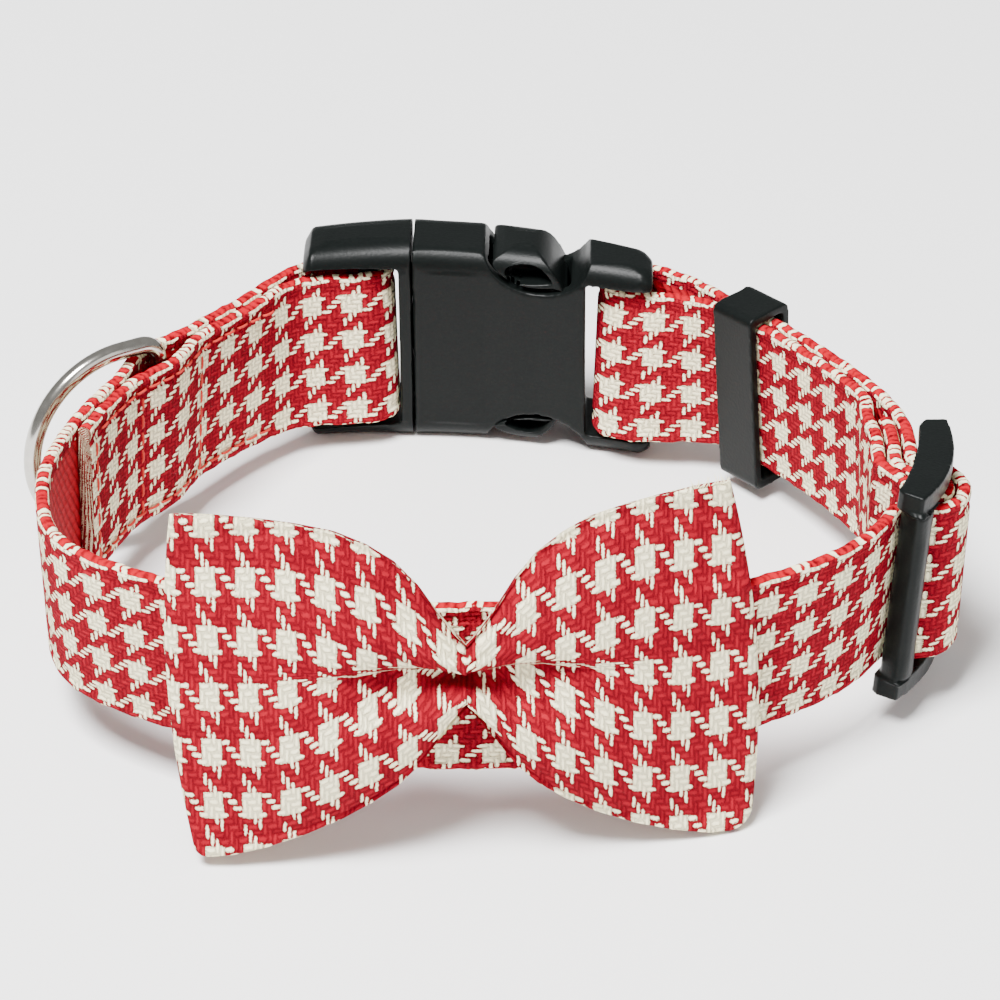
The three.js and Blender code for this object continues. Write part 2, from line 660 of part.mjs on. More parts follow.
// How far forward the strap, or the elastic round it, reaches behind a point of the bow
function behindBow(x, up) {
  let distance = BOW_AT + x;
  for (let i = 0; i < 4; i++) {
    distance += x - place(distance, 0).applyMatrix4(intoBow).x;
  }
  const onElastic = smooth(ELASTIC_FROM_PINCH / 4, ELASTIC_FROM_PINCH / 2, -x);
  const clear = THREE.MathUtils.lerp(BOW_CLEAR_OF_STRAP, ELASTIC_OUTSIDE + BOW_STAND_OFF / 2, onElastic);
  const halfWidth = STRAP_WIDTH / 2 + 2 * ELASTIC_THICKNESS;
  const rise = THREE.MathUtils.clamp(up + BOW_RISE, -halfWidth, halfWidth);
  const past = Math.abs(up + BOW_RISE - rise);
  return place(distance, clear, rise).applyMatrix4(intoBow).z - past;
}

// One section of a wing, from the bottom up its front and down its back, inset by the cloth where it is the inside
function bowSection(wing, share, inset, wingDrop) {
  const { tall, puff, crease, sweep, drop } = wingRow(share);
  const halfHeight = (tall * wing.height) / 2;
  const fullDepth = THREE.MathUtils.lerp(BOW_PINCH_DEPTH, BOW_PUFF, smooth(0, 0.4, share));
  const halfDepth = (puff * fullDepth) / 2;
  const length = share * wing.length - (share === 1 ? inset : 0);
  const steps = 12;
  const point = (up, outside) => {
    const round = Math.max(0, 1 - Math.abs(up) ** 2.6) ** 0.55;
    const height = up * (halfHeight - inset) - drop * wingDrop;
    const x = wing.side * (length - share ** 2 * (wing.bulge * up ** 2 - wing.slant * up));
    const back = Math.max(-halfDepth * round - sweep * wing.sweep, behindBow(x, height));
    const valley = crease * BOW_CREASE * bump(up / 0.42);
    const front = Math.max(halfDepth * round - valley - sweep * wing.sweep, back + BOW_EDGE);
    const depth = outside > 0 ? front - inset : back + inset;
    return new THREE.Vector3(x, height, Math.abs(up) === 1 ? (front + back) / 2 : depth);
  };
  const front = Array.from({ length: steps + 1 }, (_, i) => -Math.cos((Math.PI * i) / steps));
  return [
    ...front.map((up) => point(up, 1)),
    ...front.slice(1, -1).reverse().map((up) => point(up, -1)),
  ];
}

const WING_SHARES = WING_FORM.map(({ along }) => along);

function bowShell(inset, wingDrop) {
  const left = WING_SHARES.slice(1).reverse();
  const rings = [
    ...left.map((share) => bowSection(LEFT_WING, share, inset, wingDrop)),
    ...WING_SHARES.map((share) => bowSection(RIGHT_WING, share, inset, wingDrop)),
  ];
  return solid(loft(rings));
}

// The open seam under a wing, where the two panels part
function bowSeam(wing, wingDrop) {
  const shares = WING_SHARES.filter((along) => along > 0.3 && along < 0.9);
  const rings = shares.map((share) => {
    const bottom = bowSection(wing, share, 0, wingDrop)[0];
    const half = BOW_SLIT / 2;
    const outline = [[-half, -1], [half, -1], [half, 3 * BOW_CLOTH], [-half, 3 * BOW_CLOTH]];
    return outline.map(([out, up]) => new THREE.Vector3(bottom.x, bottom.y + up, bottom.z + out));
  });
  return solid(loft(rings));
}

function bowBody(wingDrop) {
  return geometryOf(
    bowShell(0, wingDrop)
      .subtract(bowShell(BOW_CLOTH, wingDrop))
      .subtract(bowSeam(LEFT_WING, wingDrop))
      .subtract(bowSeam(RIGHT_WING, wingDrop)),
  ).applyMatrix4(bowFrame);
}

// The wings hang until their lower corners meet the surface
function bowGeometry(floor) {
  const upright = new THREE.Vector3().setFromMatrixColumn(bowFrame, 1).z;
  const level = bowBody(0);
  level.computeBoundingBox();
  return bowBody((level.boundingBox.min.z - floor) / upright);
}

// Plain elastic loop round the strap behind the left wing
function bowLoopGeometry() {
  const insideHalf = STRAP_WIDTH / 2 + LOOP_CLEARANCE;
  const inside = roundedRectangle(ELASTIC_INSIDE, insideHalf, 0.4, 2);
  const outside = roundedRectangle(ELASTIC_OUTSIDE, insideHalf + ELASTIC_THICKNESS, 1.2, 2);
  const shape = new THREE.Shape(outside.map(([x, y]) => new THREE.Vector2(x, y)));
  shape.holes.push(new THREE.Path(inside.map(([x, y]) => new THREE.Vector2(x, y)).reverse()));
  const geometry = new THREE.ExtrudeGeometry(shape, { depth: ELASTIC_WIDTH, bevelEnabled: false });
  geometry.translate(0, 0, -ELASTIC_WIDTH / 2);
  geometry.rotateY(-Math.PI / 2);
  geometry.applyMatrix4(frameAt(BOW_AT - ELASTIC_FROM_PINCH));
  return geometry;
}

const collar = new THREE.Group();
const buckle = buckleFrame();
const male = geometryOf(maleHalf()).applyMatrix4(buckle);
const female = geometryOf(femaleHalf()).applyMatrix4(buckle);
male.computeBoundingBox();
female.computeBoundingBox();
const floor = Math.min(male.boundingBox.min.z, female.boundingBox.min.z);
collar.add(
  piece("collar_strap", strapGeometry(), 0xc24a50, 0.95),
  piece("buckle_male", male, 0x2d3230, 0.5),
  piece("buckle_female", female, 0x2d3230, 0.5),
  piece("keeper_loop", keeperGeometry(), 0x2b302e, 0.5),
  piece("slider", sliderGeometry(), 0x2b302e, 0.5),
  piece("d_ring", ringGeometry(), 0xb9b6ae, 0.25, 1),
  piece("bow", bowGeometry(floor), 0xc9555a, 0.95),
  piece("bow_loop", bowLoopGeometry(), 0x9c1e2c, 0.9),
);

// The origin is under the middle of the collar, on the surface that it stands on
const bounds = new THREE.Box3().setFromObject(collar);
const centre = bounds.getCenter(new THREE.Vector3());
collar.position.set(-centre.x, -centre.y, -bounds.min.z);

export default collar;
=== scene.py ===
import math

import bpy
import numpy as np
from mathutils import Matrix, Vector


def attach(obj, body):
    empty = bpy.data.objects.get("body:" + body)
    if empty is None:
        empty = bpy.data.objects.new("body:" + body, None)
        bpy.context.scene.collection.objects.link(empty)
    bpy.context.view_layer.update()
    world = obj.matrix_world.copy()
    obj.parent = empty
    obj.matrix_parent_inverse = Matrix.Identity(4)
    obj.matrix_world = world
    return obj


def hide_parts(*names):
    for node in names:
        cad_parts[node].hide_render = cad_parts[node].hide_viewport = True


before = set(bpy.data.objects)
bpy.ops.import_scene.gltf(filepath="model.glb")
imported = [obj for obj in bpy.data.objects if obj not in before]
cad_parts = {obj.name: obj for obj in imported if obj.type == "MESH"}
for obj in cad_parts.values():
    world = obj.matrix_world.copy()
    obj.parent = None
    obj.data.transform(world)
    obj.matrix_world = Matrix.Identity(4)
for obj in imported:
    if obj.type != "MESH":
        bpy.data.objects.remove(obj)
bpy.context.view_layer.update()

MM = 0.001
BODY = "collar"
RING_BODY = "ring"

# Strap and the loop that it makes, in millimetres
CLEARANCE = 0.3
BAR_CLEARANCE = 1.15
STRAP_WIDTH = 25
STRAP_THICKNESS = 2
LAYER_PITCH = STRAP_THICKNESS + CLEARANCE
LOOP_WIDTH = 124
LOOP_DEPTH = 114
FRONT_HEIGHT = 24
REAR_HEIGHT = 17
FOLD_BACK_LENGTH = 68
FOLD_MERGES_IN = 16
TAB_LENGTH = 19
FRAME_ORIGIN = (2.0024, 2.1396, -0.1399)

# Places along the loop, measured from its front middle, to the right
SLIDER_AT = 73
KEEPER_AT = 130.5
KEEPER_LENGTH = 8
BUCKLE_AT = 177
RING_AT = 243.5

# Buckle bars, and the turns that the strap makes round them
MALE_BAR_RADIUS = 1.6
FEMALE_BAR_RADIUS = 2
MALE_BAR_FROM_JOINT = 7.2
FEMALE_BAR_FROM_JOINT = 33.2
BAR_SPACING = MALE_BAR_FROM_JOINT + FEMALE_BAR_FROM_JOINT
MALE_FOLD = MALE_BAR_RADIUS + BAR_CLEARANCE + STRAP_THICKNESS / 2
FEMALE_FOLD = FEMALE_BAR_RADIUS + BAR_CLEARANCE + STRAP_THICKNESS / 2

# How far the buckle and the strap beside its plug stand out, and how many degrees the strap leans
JOINT_STAND_OUT = 2.7
PLUG_STAND_OUT = 1.6
PLUG_FOLD_SHIFT = 1.3
FADE_FROM_BAR = 4
STAND_OUT_FADE_TO = 24
LEAN_FADE_TO = 25
REAR_LEAN = 9
BUCKLE_STRAIGHT_FROM = 27
BUCKLE_CURVE = 5.5
MALE_LENGTH = 16.4
FEMALE_LENGTH = 36.8

# The plug's form from its end to the joint: distance from the joint, and half its height and thickness,
# first as built and then as the mould rounds it
PLUG_FORM = {
    "at": [-17, -16.4, -15.2, -13, -8.2, 0],
    "height": [15.3, 15.3, 15.9, 16.11, 16.5, 17],
    "thickness": [3.36, 3.36, 4.32, 4.62, 5.28, 6],
    "moulded_height": [14.4, 14.9, 16.7, 17.2, 17.4, 17.5],
    "moulded_thickness": [5, 5.2, 5.9, 6.2, 6.2, 6.1],
}

# Half the height and thickness that the long edges are rounded within, at distances from the joint
MOULD_FORM = {
    "height_at": [-17, -15, 0, 36],
    "height": [15.5, 17, 17.5, 17],
    "thickness_at": [-17, -15, 0, 20, 36],
    "thickness": [5.2, 5.9, 6.1, 5.9, 5],
}
BUCKLE_EDGE_RADIUS = 3.8

# What the plug's own bar covers, and where its buttons lie and how far they fall away
PLUG_BAR = {"half_length": 1.8, "half_depth": 2, "fade_from": 12.6, "fade_to": 13.6}
BUTTON_HEIGHTS = (11, 16)
BUTTON_STARTS = (8, 10.5)
BUTTON_AT = 17.9
BUTTON_HALF_LENGTH = 6.1
BUTTON_FALL = 4.8
LOWER_BUTTON_INSET = 1.8

# Slider, and where its front bar is broadened
SLIDER_LENGTH = 20.6
SLIDER_BAR_RADIUS = 1.6
SLIDER_LAP = 0.4
SLIDER_BAR_OUT = STRAP_THICKNESS / 2 + CLEARANCE + SLIDER_BAR_RADIUS
SLIDER_BAR_PITCH = SLIDER_LENGTH / 2 - SLIDER_BAR_RADIUS - SLIDER_LAP
SLIDER_WRAP = SLIDER_BAR_RADIUS + CLEARANCE + STRAP_THICKNESS / 2
FRONT_BAR = {"reach": 2.4, "top": 2.2, "out": 1.25, "wider": 0.3}
FRONT_BAR_ENDS = (13, 14.4)
FRONT_BAR_FLARE = (8.5, 13.5)
FRONT_BAR_FACE = (-0.9, 0.7)

# D-ring, its swing at rest in degrees, and the room between the layers for its bar
RING_WIRE = 2.6
RING_INSIDE_WIDTH = 26.4
RING_DEPTH = 23.5
RING_CORNER = 3
RING_SWING = 64
RING_RELIEF = RING_WIRE / 2 + CLEARANCE
RING_RELIEF_SPREAD = 10

# Bow in millimetres; its creases, fades and roundings in shares of a wing's height or length
BOW_AT = -2
BOW_STAND_OFF = 1.6
BOW_PINCH_DEPTH = 7.4
BOW_PUFF = 9
BOW_EDGE = 2.7
BOW_CREASE = 6
BOW_EDGE_THINNED = 0.9
BOW_END_ROUNDING = 1.7
BOW_END_FLATTENED = 0.97
CREASE_AT = 0.075
CREASE_ROLL = 0.42
CREASE_WALL = 0.09
CREASE_BELOW = 0.6
ROW_TURN = 0.64
ROW_TURN_FADE = (0.35, 0.78)
FULL_PUFF_AT = 0.4
PUFF_SQUARENESS = 2.6
PUFF_POWER = 0.55
PINCH_FOLD_FADE = (0.02, 0.5)
PINCH_FOLDS = [
    {"deep": 0.45, "up": 9, "side": 1.3, "along": 0},
    {"deep": 0.25, "up": 17, "side": 0.7, "along": 6},
]
CORNER_POWER = 12
BOW_FRINGE_YARNS = 26
TAB_FRINGE_YARNS = 26
BOW_RISE = 5.2
LEFT_WING = {
    "side": -1, "length": 39.5, "height": 51, "sweep": 2.6, "slant": 0.9, "bulge": 2.1, "corner": 1.5,
}
RIGHT_WING = {
    "side": 1, "length": 39, "height": 52.5, "sweep": 9, "slant": -1.9, "bulge": 2.4, "corner": 3.2,
}

ELASTIC_WIDTH = 8
ELASTIC_THICKNESS = 0.9
ELASTIC_FROM_PINCH = 14
ELASTIC_INSIDE = STRAP_THICKNESS / 2 + 3 * CLEARANCE
ELASTIC_ROUNDING = 0.4
ELASTIC_STEP = 0.9
ELASTIC_ROW = 0.5

# Middle line of the strap's outer layer in plan: shares of half the width and depth, and the lean in degrees
LOOP_FORM = [
    {"across": -0.04, "deep": -0.892, "lean": -8},
    {"across": 0.39, "deep": -0.826, "lean": 1},
    {"across": 0.8, "deep": -0.535, "lean": 3},
    {"across": 0.935, "deep": -0.02, "lean": -1},
    {"across": 0.73, "deep": 0.479, "lean": -3},
    {"across": 0.43, "deep": 0.815, "lean": -2},
    {"across": -0.04, "deep": 1.03, "lean": -2},
    {"across": -0.48, "deep": 0.835, "lean": -2},
    {"across": -0.805, "deep": 0.44, "lean": -2},
    {"across": -0.99, "deep": -0.02, "lean": 0},
    {"across": -1.02, "deep": -0.32, "lean": 1},
    {"across": -0.94, "deep": -0.582, "lean": 2},
    {"across": -0.48, "deep": -0.854, "lean": 1},
]

# One wing of the bow from the pinch to its end: shares of its length, height, puff, crease, sweep and drop;
# the crown is what its upper half stands taller than its lower one
WING_FORM = {
    "along": [0, 0.045, 0.1, 0.16, 0.24, 0.33, 0.44, 0.58, 0.72, 0.86, 1],
    "tall": [0.17, 0.25, 0.36, 0.49, 0.61, 0.7, 0.79, 0.875, 0.94, 0.985, 1],
    "puff": [1, 0.98, 0.95, 0.93, 0.95, 0.97, 1, 0.9, 0.7, 0.48, 0.36],
    "crown": [0, 0.03, 0.06, 0.09, 0.115, 0.12, 0.1, 0.06, 0.03, 0.01, 0],
    "crease": [1, 1, 0.97, 0.9, 0.74, 0.48, 0.2, 0.05, 0, 0, 0],
    "sweep": [0, 0.02, 0.06, 0.1, 0.17, 0.25, 0.36, 0.5, 0.66, 0.83, 1],
    "drop": [0, 0.05, 0.12, 0.2, 0.3, 0.42, 0.56, 0.72, 0.86, 0.96, 1],
}

# Camera, as the photo was taken
CAMERA_ELEVATION = 33.2
CAMERA_DISTANCE = 600
CAMERA_LENS = 150.1
CAMERA_AIM_HEIGHT = 19.8

# Studio: the world's strength, and each light's place, width in metres and power
WORLD_STRENGTH = 0.45
LIGHT_AIM = (0, 0, 0.02)
LIGHTS = {
    "key": {"place": (-0.3, -0.4, 1.15), "size": 0.42, "power": 57},
    "fill": {"place": (0.8, -0.9, 0.6), "size": 0.9, "power": 4},
}
FLOOR_SIZE = 6
FLOOR_COLOUR = (0.93, 0.93, 0.93, 1)


def smooth(low, high, value):
    share = np.clip((value - low) / (high - low), 0, 1)
    return share * share * (3 - 2 * share)


def mix(low, high, share):
    return low + (high - low) * share


def bump(value):
    return np.where(np.abs(value) < 1, np.cos(np.clip(value, -1, 1) * np.pi / 2) ** 2, 0)


def unit(vector):
    return vector / np.linalg.norm(vector, axis=-1, keepdims=True)


def hermite_row(points, row, shares):
    """Points on the closed centripetal curve between one row of the loop and the next."""
    count = len(points)
    a, b, c, d = (points[(row + i) % count] for i in (-1, 0, 1, 2))
    ab, bc, cd = (np.linalg.norm(q - p) ** 0.5 for p, q in ((a, b), (b, c), (c, d)))
    leave = ((b - a) / ab - (c - a) / (ab + bc) + (c - b) / bc) * bc
    arrive = ((c - b) / bc - (d - b) / (bc + cd) + (d - c) / cd) * bc
    t = shares[:, None]
    cubic = 2 * b - 2 * c + leave + arrive
    square = -3 * b + 3 * c - 2 * leave - arrive
    return cubic * t**3 + square * t**2 + leave * t + b


class Loop:
    """The strap's middle line, with its frame at any distance along it."""

    STEPS = 160

    def __init__(self):
        rows = []
        for form in LOOP_FORM:
            height = mix(REAR_HEIGHT, FRONT_HEIGHT, (1 - form["deep"]) / 2)
            rows.append((form["across"] * LOOP_WIDTH / 2, form["deep"] * LOOP_DEPTH / 2, height))
        rows = np.array(rows)
        shares = np.arange(self.STEPS) / self.STEPS
        line = np.concatenate([hermite_row(rows, i, shares) for i in range(len(rows))])
        self.line = np.vstack([line, line[:1]])
        spans = np.linalg.norm(np.diff(self.line, axis=0), axis=1)
        self.distances = np.concatenate([[0], np.cumsum(spans)])
        self.length = self.distances[-1]
        self.rows = np.arange(len(self.line)) / self.STEPS
        self.leans = np.array([form["lean"] for form in LOOP_FORM])

    def at(self, distances, line):
        inside = np.mod(distances, self.length)
        return np.stack([np.interp(inside, self.distances, line[:, i]) for i in range(3)], axis=-1)

    def frames(self, distances):
        """Origin, along, out and up at each distance."""
        distances = np.asarray(distances, dtype=float)
        origin = self.at(distances, self.line)
        along = unit(self.at(distances + 0.1, self.line) - self.at(distances - 0.1, self.line))
        row = np.interp(np.mod(distances, self.length), self.distances, self.rows)
        before = np.floor(row).astype(int) % len(self.leans)
        after = (before + 1) % len(self.leans)
        lean = np.radians(mix(self.leans[before], self.leans[after], smooth(0, 1, row % 1)))
        level = np.stack([along[..., 1], -along[..., 0], np.zeros_like(row)], axis=-1)
        level = unit(level)
        turned = level * np.cos(lean)[..., None] + np.cross(along, level) * np.sin(lean)[..., None]
        return origin, along, turned, np.cross(turned, along)

    def place(self, distances, offsets, rises=0):
        origin, _, out, up = self.frames(distances)
        offsets = np.asarray(offsets, dtype=float)[..., None]
        rises = np.asarray(rises, dtype=float)[..., None]
        return origin + out * offsets + up * rises


LOOP = Loop()


def bar_places():
    """Distances along the loop of the two buckle bars."""
    half = BAR_SPACING / 2
    for _ in range(8):
        male = LOOP.place(BUCKLE_AT + half, -MALE_FOLD)
        female = LOOP.place(BUCKLE_AT - half, -FEMALE_FOLD)
        half *= BAR_SPACING / np.linalg.norm(male - female)
    return BUCKLE_AT + half, BUCKLE_AT - half


MALE_BAR_AT, FEMALE_BAR_AT = bar_places()


def in_frame(points):
    return (np.asarray(points) + np.array(FRAME_ORIGIN)) * MM


# Materials


class Reading:
    """A socket, whose arithmetic adds Math nodes."""

    def __init__(self, finish, socket):
        self.finish = finish
        self.socket = socket

    def maths(self, operation, *values):
        return self.finish.node("ShaderNodeMath", {"operation": operation}, dict(enumerate(values)))

    def __add__(self, other):
        return self.maths("ADD", self, other)

    def __sub__(self, other):
        return self.maths("SUBTRACT", self, other)

    def __mul__(self, other):
        return self.maths("MULTIPLY", self, other)

    def __truediv__(self, other):
        return self.maths("DIVIDE", self, other)

    def __mod__(self, other):
        return self.maths("FLOORED_MODULO", self, other)

    def __lt__(self, other):
        return self.maths("LESS_THAN", self, other)

    def __radd__(self, other):
        return self.maths("ADD", other, self)

    def __rsub__(self, other):
        return self.maths("SUBTRACT", other, self)

    def floor(self):
        return self.maths("FLOOR", self)

    def part(self):
        return self.maths("FRACT", self)


class Finish:
    """A material under construction."""

    def __init__(self, name):
        self.material = bpy.data.materials.new(name)
        self.material.use_nodes = True
        self.tree = self.material.node_tree
        self.shader = self.tree.nodes["Principled BSDF"]

    def node(self, kind, settings=None, values=None, output=0):
        node = self.tree.nodes.new(kind)
        for setting, value in (settings or {}).items():
            setattr(node, setting, value)
        for key, value in (values or {}).items():
            self.feed(node.inputs[key], value)
        return Reading(self, node.outputs[output])

    def feed(self, socket, value):
        if isinstance(value, Reading):
            self.tree.links.new(value.socket, socket)
        else:
            socket.default_value = value

    def shade(self, values):
        for key, value in values.items():
            self.feed(self.shader.inputs[key], value)
        return self.material

    def colours(self, share, low, high):
        settings = {"data_type": "RGBA"}
        values = {"Factor": share, 6: low, 7: high}
        return self.node("ShaderNodeMix", settings, values, output=2)

    def tinted(self, colour, shade):
        """A colour darkened where the shade falls under 1."""
        grey = self.node("ShaderNodeCombineColor", {}, {0: shade, 1: shade, 2: shade})
        settings = {"data_type": "RGBA", "blend_type": "MULTIPLY"}
        return self.node("ShaderNodeMix", settings, {"Factor": 1.0, 6: colour, 7: grey}, output=2)

    def cloth_places(self):
        """The two distances over the cloth, in millimetres."""
        spots = self.node("ShaderNodeUVMap", {"uv_map": "cloth"})
        apart = {0: spots}
        return (self.node("ShaderNodeSeparateXYZ", {}, apart, output=i) for i in (0, 1))

    def soft_step(self, value, low, high):
        settings = {"interpolation_type": "SMOOTHSTEP"}
        return self.node("ShaderNodeMapRange", settings, {"Value": value, "From Min": low, "From Max": high})

    def noise(self, scale, detail=2.0):
        where = self.node("ShaderNodeTexCoord", output="Object")
        return self.node("ShaderNodeTexNoise", {}, {"Vector": where, "Scale": scale, "Detail": detail})

    def relief(self, height, distance, strength=1.0):
        values = {"Height": height, "Distance": distance, "Strength": strength}
        return self.node("ShaderNodeBump", {}, values, output="Normal")


RED = (0.39, 0.0065, 0.021, 1)
DEEP_RED = (0.17, 0.0025, 0.009, 1)
WEBBING_RED = (0.42, 0.0025, 0.013, 1)
OFF_WHITE = (0.99, 0.9, 0.6, 1)
BLACK_PLASTIC = (0.0015, 0.0021, 0.002, 1)
PLASTIC_SPECK = (0.0055, 0.0072, 0.0068, 1)
WORN_NICKEL = (0.4, 0.38, 0.34, 1)
BRIGHT_NICKEL = (0.56, 0.54, 0.5, 1)
THREAD_RED = (0.55, 0.02, 0.01, 1)

# Noise scales, from the cloth's slow waver to its single fibres
WAVER = 220.0
BLOTCH = 420.0
FINE = 1300.0
FIBRES = 3600.0
HAIR = 5200.0

YARNS_OF_A_COLOUR = 4
FLOATS = 2
CLOTH_ROUGHNESS = 0.95
CLOTH_SPECULAR = 0.05
CLOTH_RELIEF = 0.0003


def houndstooth(name, warp_yarn, weft_yarn, start=(0, 0)):
    """Two-and-two twill of four off-white and four red yarns each way; the yarn widths are in millimetres."""
    finish = Finish(name)
    along, across = finish.cloth_places()
    waver = finish.noise(WAVER) - 0.5
    fine = finish.noise(FINE) - 0.5
    hair = finish.noise(HAIR) - 0.5
    x = (along - start[0]) / warp_yarn + waver * 0.7 + fine * 0.25 + hair * 0.7
    y = (across - start[1]) / weft_yarn + waver * 0.5 - fine * 0.25 + hair * 0.7
    warp = x.floor()
    weft = y.floor()
    step = (weft - warp - 1) % (2 * FLOATS)
    over = step < FLOATS
    warp_white = (warp % (2 * YARNS_OF_A_COLOUR)) < YARNS_OF_A_COLOUR
    weft_white = (weft % (2 * YARNS_OF_A_COLOUR)) < YARNS_OF_A_COLOUR
    warp_grain = yarn_grain(x.part(), (step + y.part()) / FLOATS)
    weft_grain = yarn_grain(y.part(), (2 * FLOATS - 1 - step + x.part()) / FLOATS)
    grain = over * warp_grain + (1 - over) * weft_grain
    edge = finish.soft_step(grain, 0.12, 0.42)
    upper = over * warp_white + (1 - over) * weft_white
    lower = over * weft_white + (1 - over) * warp_white
    white = upper * (edge + lower * (1 - edge))
    fibres = finish.noise(FIBRES, 3.0)
    blotch = finish.noise(BLOTCH, 3.0)
    yarn = finish.node("ShaderNodeCombineXYZ", {}, {0: warp * over, 1: weft * (1 - over), 2: over})
    yarn_tone = finish.node("ShaderNodeTexWhiteNoise", {"noise_dimensions": "3D"}, {"Vector": yarn})
    reds = finish.colours(yarn_tone * 0.45 + blotch * 0.55, DEEP_RED, RED)
    cloth = finish.colours(white, reds, OFF_WHITE)
    dome = finish.soft_step(grain, -0.25, 0.9)
    # Painted shade: the cloth's colour is darkened towards each yarn's edges and in the gaps between the
    # yarns, where shade falls; the fibre noise is the yarns' own uneven tone.
    shade = 0.5 + dome * 0.36 + fibres * 0.26 + white * 0.08
    return finish.shade({
        "Base Color": finish.tinted(cloth, shade),
        "Roughness": CLOTH_ROUGHNESS,
        "Specular IOR Level": CLOTH_SPECULAR,
        "Normal": finish.relief(dome * 0.7 + white * dome * 0.25 + fibres * 0.3, CLOTH_RELIEF, 0.9),
    })


def yarn_grain(across, along):
    """Roundness of a yarn where it floats on top: 1 in its middle, 0 or less past its rounded outline."""
    side = across * 2 - 1
    end = along * 2 - 1
    return 1 - side * side * 1.55 - end * end * end * end * 0.9


def webbing(name, rib=1.1):
    """Bright ribbed webbing."""
    finish = Finish(name)
    along, across = finish.cloth_places()
    wander = finish.noise(500.0) - 0.5
    twill = (along + across * 0.7) / rib + wander * 0.6
    ribs = twill.part() * (1 - twill.part()) * 4
    rows = across / rib
    grooves = rows.part() * (1 - rows.part()) * 4
    fibres = finish.noise(2600.0, 3.0)
    # Painted shade: the colour is darkened in the grooves between the ribs, where shade falls; the fibre
    # noise is the webbing's own uneven tone.
    shade = 0.4 + ribs * 0.42 + fibres * 0.3
    return finish.shade({
        "Base Color": finish.tinted(WEBBING_RED, shade),
        "Roughness": 0.8,
        "Specular IOR Level": 0.12,
        "Normal": finish.relief(ribs + grooves * 0.5 + fibres * 0.3, CLOTH_RELIEF, 0.8),
    })


def cloth_edge(name, pitch=1.25):
    """The strap's turned edge: red cloth with short loops of off-white yarn over it."""
    finish = Finish(name)
    along, _ = finish.cloth_places()
    waver = finish.noise(700.0) - 0.5
    loops = along / pitch + waver * 1.6
    chance = finish.node("ShaderNodeTexWhiteNoise", {"noise_dimensions": "1D"}, {"W": loops.floor()})
    side = loops.part() * 2 - 1
    grain = 1 - side * side * 1.5
    white = finish.soft_step(grain, 0.15, 0.55) * (chance < 0.42)
    fibres = finish.noise(FIBRES, 3.0)
    # Painted shade: the colour is darkened towards the edges of each yarn loop and between the loops, where
    # shade falls; the fibre noise is the cloth's own uneven tone.
    shade = 0.55 + finish.soft_step(grain, -0.3, 0.9) * 0.3 + fibres * 0.3
    return finish.shade({
        "Base Color": finish.tinted(finish.colours(white, WEBBING_RED, OFF_WHITE), shade),
        "Roughness": CLOTH_ROUGHNESS,
        "Specular IOR Level": CLOTH_SPECULAR,
        "Normal": finish.relief(grain * 0.7 + fibres * 0.4, CLOTH_RELIEF, 0.9),
    })


def satin_plastic(name):
    """Black plastic with the fine grain of its mould."""
    finish = Finish(name)
    grain = finish.noise(2400.0, 3.0)
    cloudy = finish.noise(90.0)
    speck = grain * 0.75 + cloudy * 0.25
    return finish.shade({
        "Base Color": finish.colours(speck, BLACK_PLASTIC, PLASTIC_SPECK),
        "Roughness": 0.3 + cloudy * 0.12,
        "Specular IOR Level": 0.11,
        "Normal": finish.relief(grain, 0.00004, 0.6),
    })


def nickel(name):
    """Plated wire, a little uneven in its shine."""
    finish = Finish(name)
    wear = finish.noise(700.0, 4.0)
    return finish.shade({
        "Base Color": finish.colours(wear, WORN_NICKEL, BRIGHT_NICKEL),
        "Metallic": 1.0,
        "Roughness": 0.12 + wear * 0.1,
        "Normal": finish.relief(wear, 0.00002, 0.4),
    })


def thread(name, colour):
    """Spun thread or yarn."""
    finish = Finish(name)
    fibres = finish.noise(4000.0)
    return finish.shade({
        "Base Color": finish.tinted(colour, 0.7 + fibres * 0.5),
        "Roughness": 0.75,
        "Normal": finish.relief(fibres, 0.00006, 0.7),
    })


# Meshes


def mesh_object(name, points, faces, materials, body=BODY, indexes=None, uvs=None):
    mesh = bpy.data.meshes.new(name)
    mesh.from_pydata([tuple(p) for p in in_frame(points)], [], faces)
    for material in materials:
        mesh.materials.append(material)
    if indexes is not None:
        mesh.polygons.foreach_set("material_index", indexes)
    if uvs is not None:
        layer = mesh.uv_layers.new(name="cloth")
        layer.data.foreach_set("uv", np.asarray(uvs, dtype=float).ravel())
    mesh.polygons.foreach_set("use_smooth", [True] * len(mesh.polygons))
    mesh.validate()
    mesh.update()
    piece = bpy.data.objects.new(name, mesh)
    bpy.context.scene.collection.objects.link(piece)
    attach(piece, body)
    return piece


def skin(rings, places=None, round_ends=True, closed=False, kinds=None):
    """Points, faces, corner places and face kinds of a surface through rings of as many points each."""
    rings = np.asarray(rings)
    count, around = rings.shape[:2]
    points = rings.reshape(-1, 3)
    faces, corners, indexes = [], [], []
    last = count if closed else count - 1
    for i in range(last):
        below = (i + 1) % count
        for j in range(around):
            k = (j + 1) % around
            faces.append((i * around + j, i * around + k, below * around + k, below * around + j))
            indexes.append(0 if kinds is None else kinds[j])
            if places is not None:
                corners += [places[i][j], places[i][j + 1], places[i + 1][j + 1], places[i + 1][j]]
    if round_ends and not closed:
        for ring, turned in ((0, True), (count - 1, False)):
            cap = [ring * around + j for j in range(around)]
            faces.append(tuple(reversed(cap)) if turned else tuple(cap))
            indexes.append(0)
            if places is not None:
                spots = [places[ring][j] for j in range(around)]
                corners += list(reversed(spots)) if turned else spots
    return points, faces, corners if places is not None else None, indexes


